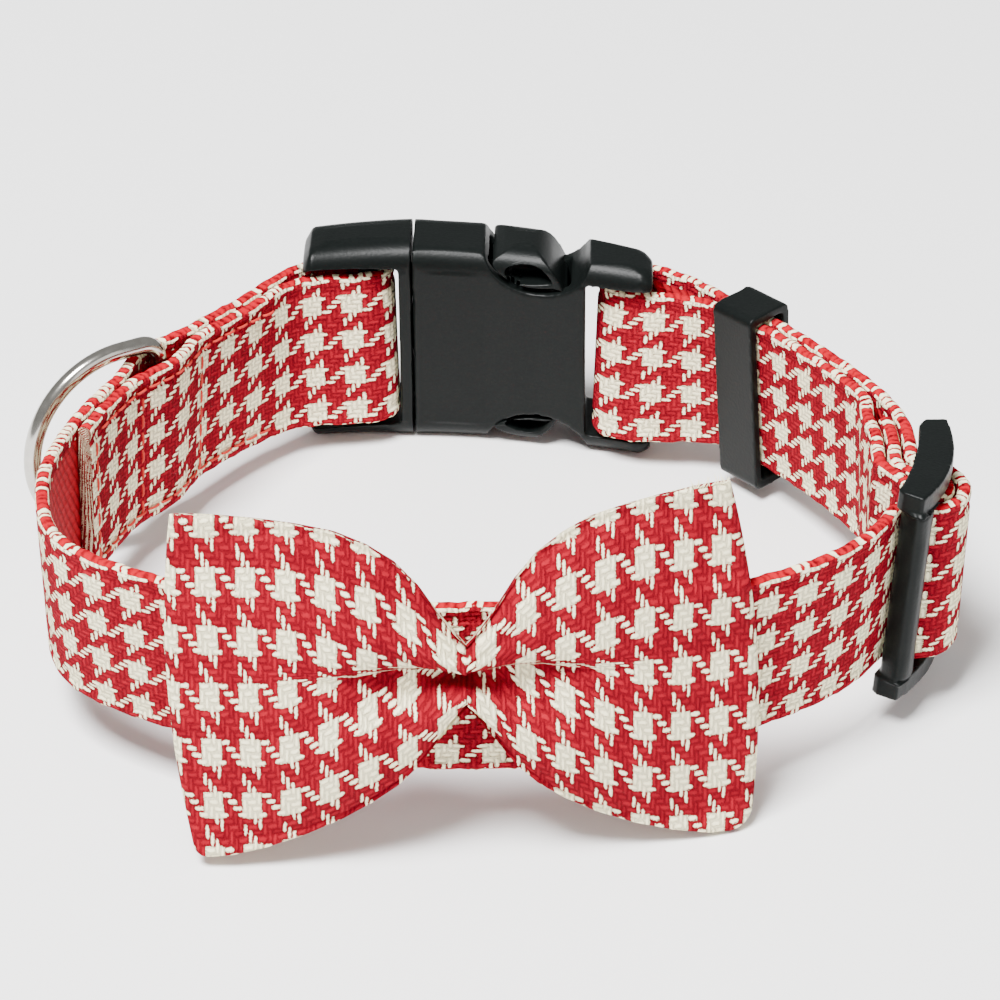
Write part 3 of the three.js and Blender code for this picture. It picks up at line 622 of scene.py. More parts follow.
def rounded_rectangle(half_out, half_up, radius, steps, straight):
    """Section as (out, up) pairs, counterclockwise from the right side's middle."""
    corners = ((1, 1, 0), (-1, 1, 90), (-1, -1, 180), (1, -1, 270))
    points = []
    for x, y, start in corners:
        for i in range(steps + 1):
            angle = math.radians(start + 90 * i / steps)
            points.append((
                x * (half_out - radius) + radius * math.cos(angle),
                y * (half_up - radius) + radius * math.sin(angle),
            ))
        if x == -y:
            heights = (mix(y, x, i / straight) * (half_up - radius) for i in range(1, straight))
            points += [(x * half_out, height) for height in heights]
    return np.array(points)


def round_section(centre, across, face, radius, steps):
    """A ring of points round a thread or a wire."""
    angles = np.linspace(0, 2 * math.pi, steps, endpoint=False)
    return [centre + (across * math.cos(a) + face * math.sin(a)) * radius for a in angles]


def arc(centre, radii, start, end, steps):
    angles = np.radians(np.linspace(start, end, steps + 1))
    return [(centre[0] + radii[0] * math.cos(a), centre[1] + radii[1] * math.sin(a)) for a in angles]


def stretch(start, end, offset_at, step=1.2):
    distances = np.linspace(start, end, max(2, round(abs(end - start) / step)))
    return [(d, float(offset_at(d))) for d in distances]


# Strap

# Steps of the tab on its way to the slider's middle bar and away from it, in layer pitches
TOWARDS_SLIDER_BAR = [(2.1, -1.85), (0.9, -0.75)]
FROM_SLIDER_BAR = [(1.4, 0.2), (1.95, -0.6), (2.7, -0.95)]


def stand_out(distance):
    """How far the strap stands out beside the plug's bar."""
    fade = smooth(MALE_BAR_AT + FADE_FROM_BAR, MALE_BAR_AT + STAND_OUT_FADE_TO, distance)
    return PLUG_STAND_OUT * (1 - fade)


def ring_relief(distance):
    """How far each layer bends away to let the ring's bar lie between them."""
    return RING_RELIEF * bump((distance - RING_AT) / RING_RELIEF_SPREAD)


def folded_back_layer():
    def offset(distance):
        apart = 2 * MALE_FOLD - LAYER_PITCH
        spread = apart * (1 - smooth(MALE_BAR_AT, MALE_BAR_AT + FOLD_MERGES_IN, distance))
        return -LAYER_PITCH - spread - ring_relief(distance)

    return stretch(MALE_BAR_AT + FOLD_BACK_LENGTH, MALE_BAR_AT, offset)


def turn_round_male_bar():
    return arc((MALE_BAR_AT, -MALE_FOLD), (MALE_FOLD, MALE_FOLD), 270, 90, 16)[1:-1]


def outer_layer():
    return stretch(MALE_BAR_AT, SLIDER_AT + LOOP.length - SLIDER_BAR_PITCH, ring_relief)


def weave_through_slider():
    at = SLIDER_AT + LOOP.length
    over = SLIDER_WRAP + LAYER_PITCH
    slot = SLIDER_BAR_PITCH - SLIDER_WRAP
    hug = (SLIDER_WRAP, SLIDER_BAR_OUT)
    return [
        *arc((at - SLIDER_BAR_PITCH, SLIDER_BAR_OUT), hug, -90, 0, 6)[1:-1],
        *arc((at, SLIDER_BAR_OUT), (slot, over), 180, 0, 22),
        *arc((at + SLIDER_BAR_PITCH, SLIDER_BAR_OUT), hug, 180, 270, 6)[1:-1],
    ]


def outer_layer_to_buckle():
    start = SLIDER_AT + LOOP.length + SLIDER_BAR_PITCH
    return stretch(start, FEMALE_BAR_AT + LOOP.length, lambda distance: 0)


def turn_round_female_bar():
    centre = (FEMALE_BAR_AT + LOOP.length, -FEMALE_FOLD)
    return arc(centre, (FEMALE_FOLD, FEMALE_FOLD), 90, -90, 16)[1:-1]


def returning_layer():
    start = FEMALE_BAR_AT + LOOP.length
    merged = KEEPER_AT + LOOP.length + KEEPER_LENGTH
    tab_end = SLIDER_AT + LOOP.length + TAB_LENGTH

    def offset(distance):
        apart = 2 * FEMALE_FOLD - LAYER_PITCH
        spread = apart * smooth(merged - KEEPER_LENGTH / 2, start, distance)
        tab = LAYER_PITCH * (1 - smooth(tab_end, tab_end + TAB_LENGTH / 2, distance))
        return -LAYER_PITCH - spread - tab

    return stretch(start, SLIDER_AT + LOOP.length + SLIDER_BAR_PITCH, offset)


def tab_at_slider():
    at = SLIDER_AT + LOOP.length
    tab_start = at + SLIDER_BAR_PITCH + STRAP_THICKNESS
    return [
        *((at + a * LAYER_PITCH, b * LAYER_PITCH) for a, b in TOWARDS_SLIDER_BAR),
        *arc((at, SLIDER_BAR_OUT), (SLIDER_WRAP, SLIDER_WRAP), 270, 0, 18),
        *((at + a * LAYER_PITCH, b * LAYER_PITCH) for a, b in FROM_SLIDER_BAR),
        *stretch(tab_start, at + TAB_LENGTH, lambda distance: -LAYER_PITCH),
    ]


def strap_route():
    """The strap from one end to the other, as pairs of distance along the loop and offset from its middle."""
    sewn_back = np.array([*folded_back_layer(), *turn_round_male_bar(), *outer_layer()])
    sewn_back[:, 0] -= PLUG_FOLD_SHIFT * stand_out(sewn_back[:, 0]) / PLUG_STAND_OUT
    sewn_back[:, 1] += stand_out(sewn_back[:, 0])
    return np.array([
        *sewn_back,
        *weave_through_slider(),
        *outer_layer_to_buckle(),
        *turn_round_female_bar(),
        *returning_layer(),
        *tab_at_slider(),
    ])


def rear_lean(distance):
    """How far the strap's top leans out beside the buckle, in radians."""
    inside = np.mod(distance, LOOP.length)
    plug_side = 1 - smooth(MALE_BAR_AT + FADE_FROM_BAR, MALE_BAR_AT + LEAN_FADE_TO, inside)
    socket_side = smooth(KEEPER_AT + KEEPER_LENGTH / 2, FEMALE_BAR_AT - FADE_FROM_BAR, inside)
    return math.radians(REAR_LEAN) * np.minimum(plug_side, socket_side)


def route_frames(route):
    """Centre, cloth side, up and length so far of the strap at each step of its route."""
    points = LOOP.place(route[:, 0], route[:, 1])
    lean = rear_lean(route[:, 0])[:, None]
    before = np.vstack([points[:1], points[:-1]])
    after = np.vstack([points[1:], points[-1:]])
    heading = unit(after - before)
    _, _, out, up = LOOP.frames(route[:, 0])
    up = up * np.cos(lean) + out * np.sin(lean)
    side = unit(np.cross(heading, up))
    lengths = np.concatenate([[0], np.cumsum(np.linalg.norm(np.diff(points, axis=0), axis=1))])
    return points, side, up, lengths


STRAP_RADIUS = 0.92
EDGE_CLOTH = 0.4
SEWN_LINE_AT = 10.2
SEWN_LINE_SPREAD = 1.1
SEWN_LINE_DEPTH = 0.28
WEBBING_INSET = 2.2
INNER_FACE_FROM = 0.45
EDGE_WAVES = [(0.1, 1.25, 0), (0.07, 2.9, 1)]


def edge_waver(length, rise):
    """The small unevenness of the sewn cloth's edge."""
    wave = sum(high * math.sin(length * turn + rise * lean) for high, turn, lean in EDGE_WAVES)
    return wave * (abs(rise) / (STRAP_WIDTH / 2)) ** 4


def strap_side(out, rise):
    """Which of the strap's materials shows: 0 its cloth, 1 the webbing inside or 2 the turned edge."""
    if abs(rise) > STRAP_WIDTH / 2 - EDGE_CLOTH:
        return 2
    inner = out < -STRAP_THICKNESS * INNER_FACE_FROM
    return 1 if inner and abs(rise) < STRAP_WIDTH / 2 - WEBBING_INSET else 0


def build_strap(materials):
    route = strap_route()
    points, side, up, lengths = route_frames(route)
    section = rounded_rectangle(STRAP_THICKNESS / 2, STRAP_WIDTH / 2, STRAP_RADIUS, 5, 40)
    spans = np.linalg.norm(np.diff(np.vstack([section, section[:1]]), axis=0), axis=1)
    around = np.concatenate([[0], np.cumsum(spans)])
    rings, places = [], []
    for i, length in enumerate(lengths):
        ring = []
        for out, rise in section:
            waver = edge_waver(length, rise)
            sewn = SEWN_LINE_DEPTH * bump((abs(rise) - SEWN_LINE_AT) / SEWN_LINE_SPREAD) * (out > 0)
            ring.append(points[i] + side[i] * (out - sewn) + up[i] * (rise + waver * np.sign(rise)))
        rings.append(ring)
        places.append([(length, value) for value in around])
    middles = (section + np.roll(section, -1, axis=0)) / 2
    kinds = [strap_side(out, rise) for out, rise in middles]
    points, faces, corners, indexes = skin(rings, places, kinds=kinds)
    strap = mesh_object("strap", points, faces, materials, indexes=indexes, uvs=corners)
    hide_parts("collar_strap")


# Bow


def bow_frame():
    """Where the bow stands: origin, along, up and out."""
    origin, along, out, up = LOOP.frames(BOW_AT)
    offset = STRAP_THICKNESS / 2 + BOW_STAND_OFF + BOW_PINCH_DEPTH / 2
    return origin + out * offset + up * BOW_RISE, along, up, out


BOW_ORIGIN, BOW_ALONG, BOW_UP, BOW_OUT = bow_frame()


def into_bow(points):
    """Points of the loop in the bow's own frame."""
    away = points - BOW_ORIGIN
    return np.stack([away @ BOW_ALONG, away @ BOW_UP, away @ BOW_OUT], axis=-1)


def out_of_bow(points):
    """Points of the bow's own frame in the loop's."""
    points = np.asarray(points)
    return BOW_ORIGIN + points[..., :1] * BOW_ALONG + points[..., 1:2] * BOW_UP + points[..., 2:] * BOW_OUT


def behind_bow(x, height):
    """How far forward the strap, or the elastic round it, reaches behind points of the bow."""
    distance = BOW_AT + x
    for _ in range(4):
        distance = distance + x - into_bow(LOOP.place(distance, 0 * x))[..., 0]
    on_elastic = smooth(ELASTIC_FROM_PINCH / 4, ELASTIC_FROM_PINCH / 2, -x)
    elastic = ELASTIC_INSIDE + ELASTIC_THICKNESS + BOW_STAND_OFF / 2
    clear = mix(STRAP_THICKNESS / 2 + BOW_STAND_OFF, elastic, on_elastic)
    half_width = STRAP_WIDTH / 2 + 2 * ELASTIC_THICKNESS
    rise = np.clip(height + BOW_RISE, -half_width, half_width)
    past = np.abs(height + BOW_RISE - rise)
    return into_bow(LOOP.place(distance, clear, rise))[..., 2] - past


def wing_form(column, share):
    """One column of the wings' form at a share of their length."""
    return np.interp(share, WING_FORM["along"], WING_FORM[column])


def crease_depth(up, share):
    """The crease across the wing, where the upper half rolls down over the lower one."""
    rolled = 1 - np.clip((up - CREASE_AT) / CREASE_ROLL, 0, 1)
    above = 1 - np.sqrt(1 - rolled**2)
    below = 1 - smooth(0, CREASE_BELOW, CREASE_AT - up)
    return BOW_CREASE * wing_form("crease", share) * np.where(up > CREASE_AT, above, below)


def pinch_folds(up, share, side):
    """Soft folds that run out from the pinch."""
    fade = (1 - smooth(*PINCH_FOLD_FADE, share)) * (1 - np.abs(up) ** 6)
    folds = (
        fold["deep"] * np.sin(up * fold["up"] + side * fold["side"] + share * fold["along"])
        for fold in PINCH_FOLDS
    )
    return fade * sum(folds)


def bow_section(wing, share, up, outside, drop):
    """Points of a section of the front or the back, at heights in shares of half the wing's height."""
    half_height = wing_form("tall", share) * wing["height"] / 2
    full_depth = mix(BOW_PINCH_DEPTH, BOW_PUFF, smooth(0, FULL_PUFF_AT, share))
    half_depth = wing_form("puff", share) * full_depth / 2
    end = share**2 * (wing["bulge"] * up**2 - wing["slant"] * up)
    past_corner = np.clip((-up * half_height - half_height + wing["corner"]) / wing["corner"], 0, 1)
    corner = share**CORNER_POWER * wing["corner"] * (1 - np.sqrt(1 - past_corner**2))
    x = wing["side"] * (share * wing["length"] - end - corner)
    crown = np.maximum(up, 0) * half_height * wing_form("crown", share)
    height = up * half_height + crown - wing_form("drop", share) * drop
    rounding = np.maximum(0, 1 - np.abs(up) ** PUFF_SQUARENESS) ** PUFF_POWER
    swept = wing_form("sweep", share) * wing["sweep"]
    back = np.maximum(-half_depth * rounding - swept, behind_bow(x, height))
    shape = half_depth * rounding - crease_depth(up, share) + pinch_folds(up, share, wing["side"])
    front = np.maximum(shape - swept, back + BOW_EDGE * BOW_EDGE_THINNED)
    edge = np.clip((1 - np.abs(up)) * half_height / (BOW_EDGE * 0.5), 0, 1)
    last = np.clip((share - 1) * wing["length"] / BOW_END_ROUNDING + 1, 0, 1)
    roundness = np.sqrt(1 - (1 - edge) ** 2) * math.sqrt(1 - BOW_END_FLATTENED * last**2)
    middle = (front + back) / 2
    depth = middle + ((front if outside else back) - middle) * roundness
    return np.stack([x, height, depth], axis=-1)


WING_STEPS = 80
END_STEPS = 8
CLOSER_AT_PINCH = 1.25
FRONT_HEIGHTS = np.sort([
    *np.cos(np.linspace(0, math.pi, 90)),
    *(CREASE_AT + CREASE_ROLL * np.linspace(0, 1, 22) ** 3),
    *(CREASE_AT - np.linspace(0.005, 0.05, 6)),
])[::-1]
FRONT_STEPS = len(FRONT_HEIGHTS)
BACK_STEPS = 40


def bow_shares():
    """Steps along a wing, closer together near the pinch and at the rounded end."""
    start_of_end = 1 - BOW_END_ROUNDING / RIGHT_WING["length"]
    turns = [math.pi / 2 * step / END_STEPS for step in range(1, END_STEPS + 1)]
    return np.array([
        *np.linspace(0, start_of_end ** (1 / CLOSER_AT_PINCH), WING_STEPS) ** CLOSER_AT_PINCH,
        *(mix(start_of_end, 1, math.sin(turn)) for turn in turns),
    ])


def cloth_rows(wing, share, up):
    """How far down the flat cloth each height lies.

    The rows turn towards the pinch, and the crease swallows the rest of the cloth.
    """
    lower = wing_form("tall", share) * wing["height"] / 2
    upper = lower * (1 + wing_form("crown", share))
    swallowed = wing["height"] - lower - upper
    turned = ROW_TURN * (1 - smooth(*ROW_TURN_FADE, share))
    side = 2 * smooth(0, CREASE_WALL, up - CREASE_AT) - 1
    return upper - np.where(up > 0, up * upper, up * lower) + swallowed / 2 * (1 - turned * side)


def wing_rings(wing, drop):
    """Rings of points along a wing, and where each point lies on the flat cloth."""
    back = np.cos(np.linspace(math.pi, 0, BACK_STEPS))[1:-1]
    rings, places = [], []
    for share in bow_shares():
        faced = bow_section(wing, share, FRONT_HEIGHTS, True, drop)
        hidden = bow_section(wing, share, back, False, drop)
        down = cloth_rows(wing, share, FRONT_HEIGHTS)
        rest = np.linspace(down[-1], down[-1] + wing["height"], BACK_STEPS)[1:]
        rings.append(np.vstack([faced, hidden]))
        across = [*faced[:, 0], *hidden[:, 0], faced[0, 0]]
        places.append(list(zip(across, [*down, *rest])))
    return rings, places


def bow_drop():
    """How far the wings hang, until their lower corners meet the surface that the collar stands on."""
    lowest = []
    for wing in (LEFT_WING, RIGHT_WING):
        up = np.linspace(-1, 0, 30)
        lowest.append(out_of_bow(bow_section(wing, 1.0, up, True, 0))[:, 2].min())
    floor = -FRAME_ORIGIN[2]
    return (min(lowest) - floor) / BOW_UP[2]


def build_bow(material):
    drop = bow_drop()
    left_rings, left_places = wing_rings(LEFT_WING, drop)
    right_rings, right_places = wing_rings(RIGHT_WING, drop)
    rings = out_of_bow(np.array([*reversed(left_rings[1:]), *right_rings]))
    places = [*reversed(left_places[1:]), *right_places]
    points, faces, corners, indexes = skin(rings, places, round_ends=False)
    around = rings.shape[1]
    for ring, turned in ((0, True), (len(rings) - 1, False)):
        close_wing_end(faces, corners, indexes, ring * around, around, turned, places[ring])
    bow = mesh_object("bow_tie", points, faces, [material], indexes=indexes, uvs=corners)
    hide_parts("bow")


def close_wing_end(faces, corners, indexes, first, around, turned, places):
    """The end of a wing: its front and back meet in quads from the top down."""
    for j in range(FRONT_STEPS - 1):
        quad = end_quad(first, around, j)
        faces.append(tuple(reversed(quad)) if turned else quad)
        indexes.append(0)
        spots = [places[j], places[j + 1], places[j + 1], places[j]]
        corners += list(reversed(spots)) if turned else spots


def end_quad(first, around, j):
    """The corners of one face between the front and the back of a wing's end."""
    def opposite(step):
        back = round(step / (FRONT_STEPS - 1) * (BACK_STEPS - 1))
        return first + (around - back) % around

    return tuple(dict.fromkeys((first + j, first + j + 1, opposite(j + 1), opposite(j))))


# Elastic, ring and moulded pieces

SOFTENING = 0.6


def build_elastic(material):
    section = rounded_rectangle(ELASTIC_THICKNESS / 2, ELASTIC_WIDTH / 2, ELASTIC_ROUNDING, 3, 6)
    half_up = STRAP_WIDTH / 2 + 2 * CLEARANCE + ELASTIC_THICKNESS / 2
    half_out = ELASTIC_INSIDE + ELASTIC_THICKNESS / 2
    path = rounded_rectangle(half_out, half_up, ELASTIC_THICKNESS, 6, 10)
    origin, along, out, up = LOOP.frames(BOW_AT - ELASTIC_FROM_PINCH)
    around = np.roll(path, -1, axis=0) - np.roll(path, 1, axis=0)
    rings = []
    for (x, y), (dx, dy) in zip(path, around):
        normal = unit(np.array([dy, -dx]))
        base = origin + out * x + up * y
        face = out * normal[0] + up * normal[1]
        rings.append([base + face * a + along * b for a, b in section])
    lengths = np.arange(len(path) + 1) * ELASTIC_STEP
    places = [[(length, j * ELASTIC_ROW) for j in range(len(section) + 1)] for length in lengths]
    points, faces, corners, indexes = skin(rings, places, closed=True)
    elastic = mesh_object("bow_elastic", points, faces, [material], indexes=indexes, uvs=corners)
    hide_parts("bow_loop")


def build_ring(material):
    half = (RING_INSIDE_WIDTH + RING_WIRE) / 2
    reach = RING_DEPTH - RING_WIRE
    corner = (RING_CORNER, RING_CORNER)
    outline = np.array([
        *arc((RING_CORNER, -half + RING_CORNER), corner, 180, 270, 8),
        *arc((reach - half, 0), (half, half), -90, 90, 44),
        *arc((RING_CORNER, half - RING_CORNER), corner, 90, 180, 8),
        *((0, mix(half - RING_CORNER, RING_CORNER - half, i / 16)) for i in range(1, 16)),
    ])
    origin, along, out, up = LOOP.frames(RING_AT)
    swing = math.radians(RING_SWING)
    away = along * math.sin(swing) + out * math.cos(swing)
    origin = origin - out * LAYER_PITCH / 2
    around = unit(np.roll(outline, -1, axis=0) - np.roll(outline, 1, axis=0))
    facing = np.cross(away, up)
    rings = []
    for (x, y), (dx, dy) in zip(outline, around):
        side = away * dy - up * dx
        base = origin + away * x + up * y
        rings.append(round_section(base, side, facing, RING_WIRE / 2, 24))
    points, faces, _, indexes = skin(rings, closed=True)
    ring = mesh_object("lead_ring", points, faces, [material], body=RING_BODY, indexes=indexes)
    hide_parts("d_ring")


def applied(piece):
    """The piece with its modifiers made part of its mesh."""
    graph = bpy.context.evaluated_depsgraph_get()
    mesh = bpy.data.meshes.new_from_object(piece.evaluated_get(graph))
    piece.modifiers.clear()
    piece.data = mesh
    return piece


def broaden_front_bar(slider):
    """The slider's front bar is broad and flat on its outer side."""
    bar = LOOP.place(SLIDER_AT - SLIDER_BAR_PITCH, SLIDER_BAR_OUT)
    _, along, out, up = LOOP.frames(SLIDER_AT - SLIDER_BAR_PITCH)
    points = mesh_points(slider)
    away = points - bar
    x, y, z = away @ along, away @ up, away @ out
    ends = 1 - smooth(*FRONT_BAR_ENDS, np.abs(y))
    on_bar = (np.abs(x) < FRONT_BAR["reach"]) * (z < FRONT_BAR["top"]) * ends
    share = on_bar * smooth(*FRONT_BAR_FACE, z)
    flare = 1 + smooth(*FRONT_BAR_FLARE, np.abs(y))
    wider = (x * share * FRONT_BAR["wider"] * flare)[:, None] * along
    moved = points + wider + (share * FRONT_BAR["out"])[:, None] * out
    slider.data.vertices.foreach_set("co", in_frame(moved).ravel())
    slider.data.update()


def mesh_points(piece):
    """The piece's points in the loop's own millimetres."""
    points = np.empty(len(piece.data.vertices) * 3)
    piece.data.vertices.foreach_get("co", points)
    return points.reshape(-1, 3) / MM - np.array(FRAME_ORIGIN)


def buckle_curve(x):
    """How far the CAD buckle bends in towards the loop."""
    half = (MALE_LENGTH + FEMALE_LENGTH) / 2
    centre = (FEMALE_LENGTH - MALE_LENGTH) / 2
    return -BUCKLE_CURVE * (1 - ((x - centre) / half) ** 2)


def buckle_frame():
    """The buckle's own frame: its joint, then the directions along it, up it and into the loop."""
    male = LOOP.place(MALE_BAR_AT, -MALE_FOLD)
    female = LOOP.place(FEMALE_BAR_AT, -FEMALE_FOLD)
    across = unit(female - male)
    up = LOOP.frames(BUCKLE_AT)[3]
    up = unit(up - across * (up @ across))
    inward = np.cross(across, up)
    male_bar = buckle_curve(-MALE_BAR_FROM_JOINT)
    slope = buckle_curve(BAR_SPACING - MALE_BAR_FROM_JOINT) - male_bar
    turn = math.atan2(slope, BAR_SPACING)
    along = across * math.cos(turn) - inward * math.sin(turn)
    inside = across * math.sin(turn) + inward * math.cos(turn)
    return male + along * MALE_BAR_FROM_JOINT - inside * male_bar, along, up, inside


def straighten(piece, plug=False):
    """Bring a buckle half to the straight back and the full end that the moulded one has."""
    joint, along, up, inside = buckle_frame()
    away = mesh_points(piece) - joint
    x, y, z = away @ along, away @ up, away @ inside - buckle_curve(away @ along)
    if plug:
        y = y * form_ratio(x, "moulded_height", "height")
        z = z * form_ratio(x, "moulded_thickness", "thickness")
        y = with_rounded_buttons(x, y)
    y, z = with_rounded_edges(x, y, z)
    out = JOINT_STAND_OUT * np.maximum(0, 1 - x / BUCKLE_STRAIGHT_FROM) ** 1.5
    if plug:
        ends = 1 - smooth(PLUG_BAR["fade_from"], PLUG_BAR["fade_to"], np.abs(y))
        near = np.abs(x + MALE_BAR_FROM_JOINT) < PLUG_BAR["half_length"]
        bar = near * (np.abs(z) < PLUG_BAR["half_depth"]) * ends
        out = mix(out, PLUG_STAND_OUT + y * math.sin(math.radians(REAR_LEAN)), bar)
        x = x + bar
    z = z + buckle_curve(x) - out
    moved = joint + x[:, None] * along + y[:, None] * up + z[:, None] * inside
    piece.data.vertices.foreach_set("co", in_frame(moved).ravel())
    piece.data.update()


def with_rounded_buttons(x, y):
    """The buttons fall away towards their free ends, and the lower one lies inside the buckle's edge."""
    on_button = smooth(*BUTTON_HEIGHTS, np.abs(y)) * smooth(*BUTTON_STARTS, x)
    fall = BUTTON_FALL * np.clip((x - BUTTON_AT) / BUTTON_HALF_LENGTH, 0, 1) ** 2
    inset = np.where(y < 0, LOWER_BUTTON_INSET, 0)
    return y - np.sign(y) * on_button * (fall + inset)


def with_rounded_edges(x, y, z):
    """Long edges rounded to the moulded radius."""
    half_height = np.interp(x, MOULD_FORM["height_at"], MOULD_FORM["height"])
    half_thickness = np.interp(x, MOULD_FORM["thickness_at"], MOULD_FORM["thickness"])
    past_height = np.abs(y) - (half_height - BUCKLE_EDGE_RADIUS)
    past_thickness = np.abs(z) - (half_thickness - BUCKLE_EDGE_RADIUS)
    reach = np.hypot(past_height, past_thickness)
    outside = (past_height > 0) & (past_thickness > 0) & (reach > BUCKLE_EDGE_RADIUS)
    drawn_in = np.where(outside, BUCKLE_EDGE_RADIUS / np.maximum(reach, 1e-6), 1)
    y = y - np.sign(y) * np.where(outside, past_height * (1 - drawn_in), 0)
    z = z - np.sign(z) * np.where(outside, past_thickness * (1 - drawn_in), 0)
    return y, z


def form_ratio(x, moulded_form, form):
    """How much larger the moulded plug is than the CAD one."""
    moulded_size = np.interp(x, PLUG_FORM["at"], PLUG_FORM[moulded_form])
    return moulded_size / np.interp(x, PLUG_FORM["at"], PLUG_FORM[form])


def moulded(name, node, material, voxel, passes):
    """A moulded copy of a hard piece, with the rounded edges that the mould leaves."""
    piece = bpy.data.objects.new(name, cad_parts[node].data.copy())
    bpy.context.scene.collection.objects.link(piece)
    remesh = piece.modifiers.new("even", "REMESH")
    remesh.mode = "VOXEL"
    remesh.voxel_size = voxel * MM
    remesh.use_smooth_shade = True
    soften = piece.modifiers.new("soft edges", "SMOOTH")
    soften.factor = SOFTENING
    soften.iterations = passes
    applied(piece)
    piece.data.materials.clear()
    piece.data.materials.append(material)
    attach(piece, BODY)
    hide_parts(node)
    return piece


# Stitches

STITCH_LENGTH = 2.2
STITCH_GAP = 0.7
STITCH_RADIUS = 0.2
STITCH_SUNK = 0.4
STITCH_INSET = 2.1
STITCHES_FROM_BAR = 18
STITCHES_FROM_END = 2
STITCHES_BESIDE_RING = 8


def stitch(start, end, face):
    """One stitch: a short thread that dips into the cloth at both ends."""
    rings = []
    across = unit(np.cross(end - start, face))
    for share in np.linspace(0, 1, 7):
        lift = (4 * share * (1 - share)) ** 0.5 * STITCH_RADIUS - STITCH_RADIUS * STITCH_SUNK
        rings.append(round_section(mix(start, end, share) + face * lift, across, face, STITCH_RADIUS, 6))
    return rings


def stitch_line(low, high, spot, offset, outward):
    """A line of stitches on one face of the strap, where spot gives the distance and rise at each place."""
    rings = []
    pitch = STITCH_LENGTH + STITCH_GAP
    for i in range(int((high - low) / pitch)):
        first = low + i * pitch
        ends = [spot(first), spot(first + STITCH_LENGTH)]
        start, end = (LOOP.place(distance, offset(distance), rise) for distance, rise in ends)
        rings.append(stitch(start, end, LOOP.frames(ends[0][0])[2] * outward))
    return rings


def build_stitches(name, groups, material):
    """One piece of many threads, each of them given by its rings."""
    points, faces = [], []
    for rings in groups:
        new, quads, _, _ = skin(rings)
        faces += [tuple(index + len(points) for index in face) for face in quads]
        points += list(new)
    piece = mesh_object(name, points, faces, [material])
    return piece


def inner_face(distance):
    return -LAYER_PITCH - STRAP_THICKNESS / 2 - ring_relief(distance)


def outer_face(distance):
    return STRAP_THICKNESS / 2 + ring_relief(distance)


def build_all_stitches(material):
    fold_start = MALE_BAR_AT + STITCHES_FROM_BAR
    fold_end = MALE_BAR_AT + FOLD_BACK_LENGTH - STITCHES_FROM_END
    edge = STRAP_WIDTH / 2 - STITCH_INSET
    rows = []
    for rise in (-edge, edge):
        for face, outward in ((inner_face, -1), (outer_face, 1)):
            rows += stitch_line(fold_start, fold_end, lambda distance: (distance, rise), face, outward)
    for distance in (RING_AT - STITCHES_BESIDE_RING, RING_AT + STITCHES_BESIDE_RING, fold_end):
        rows += stitch_line(-edge, edge, lambda rise: (distance, rise), inner_face, -1)
    build_stitches("strap_stitches", rows, material)


# Fringe


def loose_yarn(base, tip, face, thick=0.2):
    """A yarn end that bends a little and gets thinner towards its tip."""
    across = unit(np.cross(tip - base, face))
    bow_out = face * 0.12 * np.linalg.norm(tip - base)
    rings = []
    for share in np.linspace(0, 1, 6):
        centre = mix(base, tip, share) + bow_out * math.sin(math.pi * share)
        rings.append(round_section(centre, across, face, mix(thick, thick * 0.3, share), 5))
    return rings


def build_bow_fringe(material):
    """Fibres that have worked loose at the right wing's upper corner."""
    rng = np.random.default_rng(11)
    drop = bow_drop()
    rings = []
    for _ in range(BOW_FRINGE_YARNS):
        share = rng.uniform(0.84, 0.995)
        edge = bow_section(RIGHT_WING, share, np.array([0.995]), True, drop)[0]
        lean = np.array([rng.uniform(-0.8, 0.9), rng.uniform(0.3, 1.5), rng.uniform(-0.5, 0.5)])
        rings.append(loose_yarn(out_of_bow(edge), out_of_bow(edge + lean), BOW_OUT, 0.09))
    fringe = build_stitches("bow_fringe", rings, material)


def build_fringe(material):
    """Loose white yarn ends at the strap's cut tab."""
    rng = np.random.default_rng(7)
    at = SLIDER_AT + TAB_LENGTH
    rings = []
    _, along, out, up = LOOP.frames(at)
    for i in range(TAB_FRINGE_YARNS):
        rise = mix(-STRAP_WIDTH / 2 + 0.6, STRAP_WIDTH / 2 - 0.4, i / (TAB_FRINGE_YARNS - 1))
        base = LOOP.place(at - 0.4, -LAYER_PITCH, rise)
        reach = along * rng.uniform(0.9, 1.7)
        reach = reach + up * rng.uniform(-0.4, 0.5)
        tip = base + (reach + out * rng.uniform(-0.25, 0.2))
        rings.append(loose_yarn(base, tip, out))
    build_stitches("tab_fringe", rings, material)


# Floor, light and camera


def build_floor():
    finish = Finish("floor")
    material = finish.shade({"Base Color": FLOOR_COLOUR, "Roughness": 0.9})
    bpy.ops.mesh.primitive_plane_add(size=FLOOR_SIZE)
    floor = bpy.context.object
    floor.name = "floor"
    floor.data.materials.append(material)


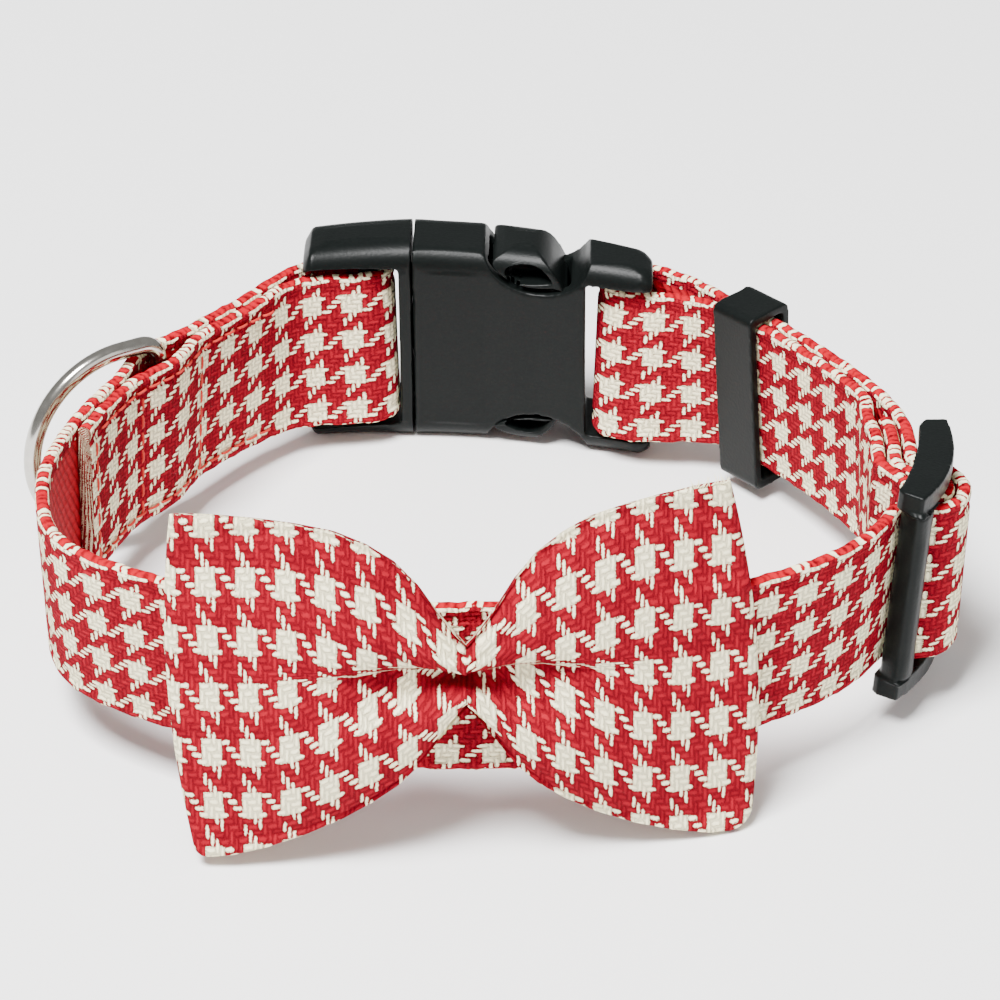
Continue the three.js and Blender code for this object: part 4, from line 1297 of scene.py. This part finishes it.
def area_light(name, place, size, power):
    light = bpy.data.lights.new(name, "AREA")
    light.size = size
    light.energy = power
    lamp = bpy.data.objects.new(name, light)
    lamp.location = place
    lamp.rotation_euler = (Vector(LIGHT_AIM) - Vector(place)).to_track_quat("-Z", "Y").to_euler()
    bpy.context.scene.collection.objects.link(lamp)


def build_light():
    world = bpy.data.worlds.new("studio")
    bpy.context.scene.world = world
    world.use_nodes = True
    background = world.node_tree.nodes["Background"]
    background.inputs["Color"].default_value = (1, 1, 1, 1)
    background.inputs["Strength"].default_value = WORLD_STRENGTH
    for name, light in LIGHTS.items():
        area_light(name, light["place"], light["size"], light["power"])


def build_camera():
    camera = bpy.data.objects.new("camera", bpy.data.cameras.new("camera"))
    bpy.context.scene.collection.objects.link(camera)
    tilt = math.radians(CAMERA_ELEVATION)
    aim = Vector((FRAME_ORIGIN[0], FRAME_ORIGIN[1], CAMERA_AIM_HEIGHT)) * MM
    away = Vector((0, -math.cos(tilt), math.sin(tilt))) * CAMERA_DISTANCE * MM
    camera.location = aim + away
    camera.rotation_euler = (-away).to_track_quat("-Z", "Y").to_euler()
    camera.data.lens = CAMERA_LENS
    camera.data.clip_start = 0.01
    bpy.context.scene.camera = camera


build_camera()
build_light()
build_floor()

STRAP_CLOTH = houndstooth("strap cloth", 0.78, 0.74)
BOW_CLOTH = houndstooth("bow cloth", 0.65, 1.04, start=(1.2, -0.8))
WEBBING = webbing("red webbing", 1.7)
STRAP_EDGE = cloth_edge("turned strap edge")
PLASTIC = satin_plastic("black plastic")
NICKEL = nickel("bright nickel")
ELASTIC = webbing("red elastic", 0.8)
RED_THREAD = thread("red thread", THREAD_RED)
WHITE_YARN = thread("white yarn", OFF_WHITE)

build_strap([STRAP_CLOTH, WEBBING, STRAP_EDGE])
build_bow(BOW_CLOTH)
build_elastic(ELASTIC)
build_ring(NICKEL)
straighten(moulded("buckle_plug", "buckle_male", PLASTIC, 0.3, 5), plug=True)
straighten(moulded("buckle_socket", "buckle_female", PLASTIC, 0.3, 5))
moulded("strap_keeper", "keeper_loop", PLASTIC, 0.22, 3)
broaden_front_bar(moulded("strap_slider", "slider", PLASTIC, 0.25, 3))
build_all_stitches(RED_THREAD)
build_fringe(WHITE_YARN)
build_bow_fringe(WHITE_YARN)
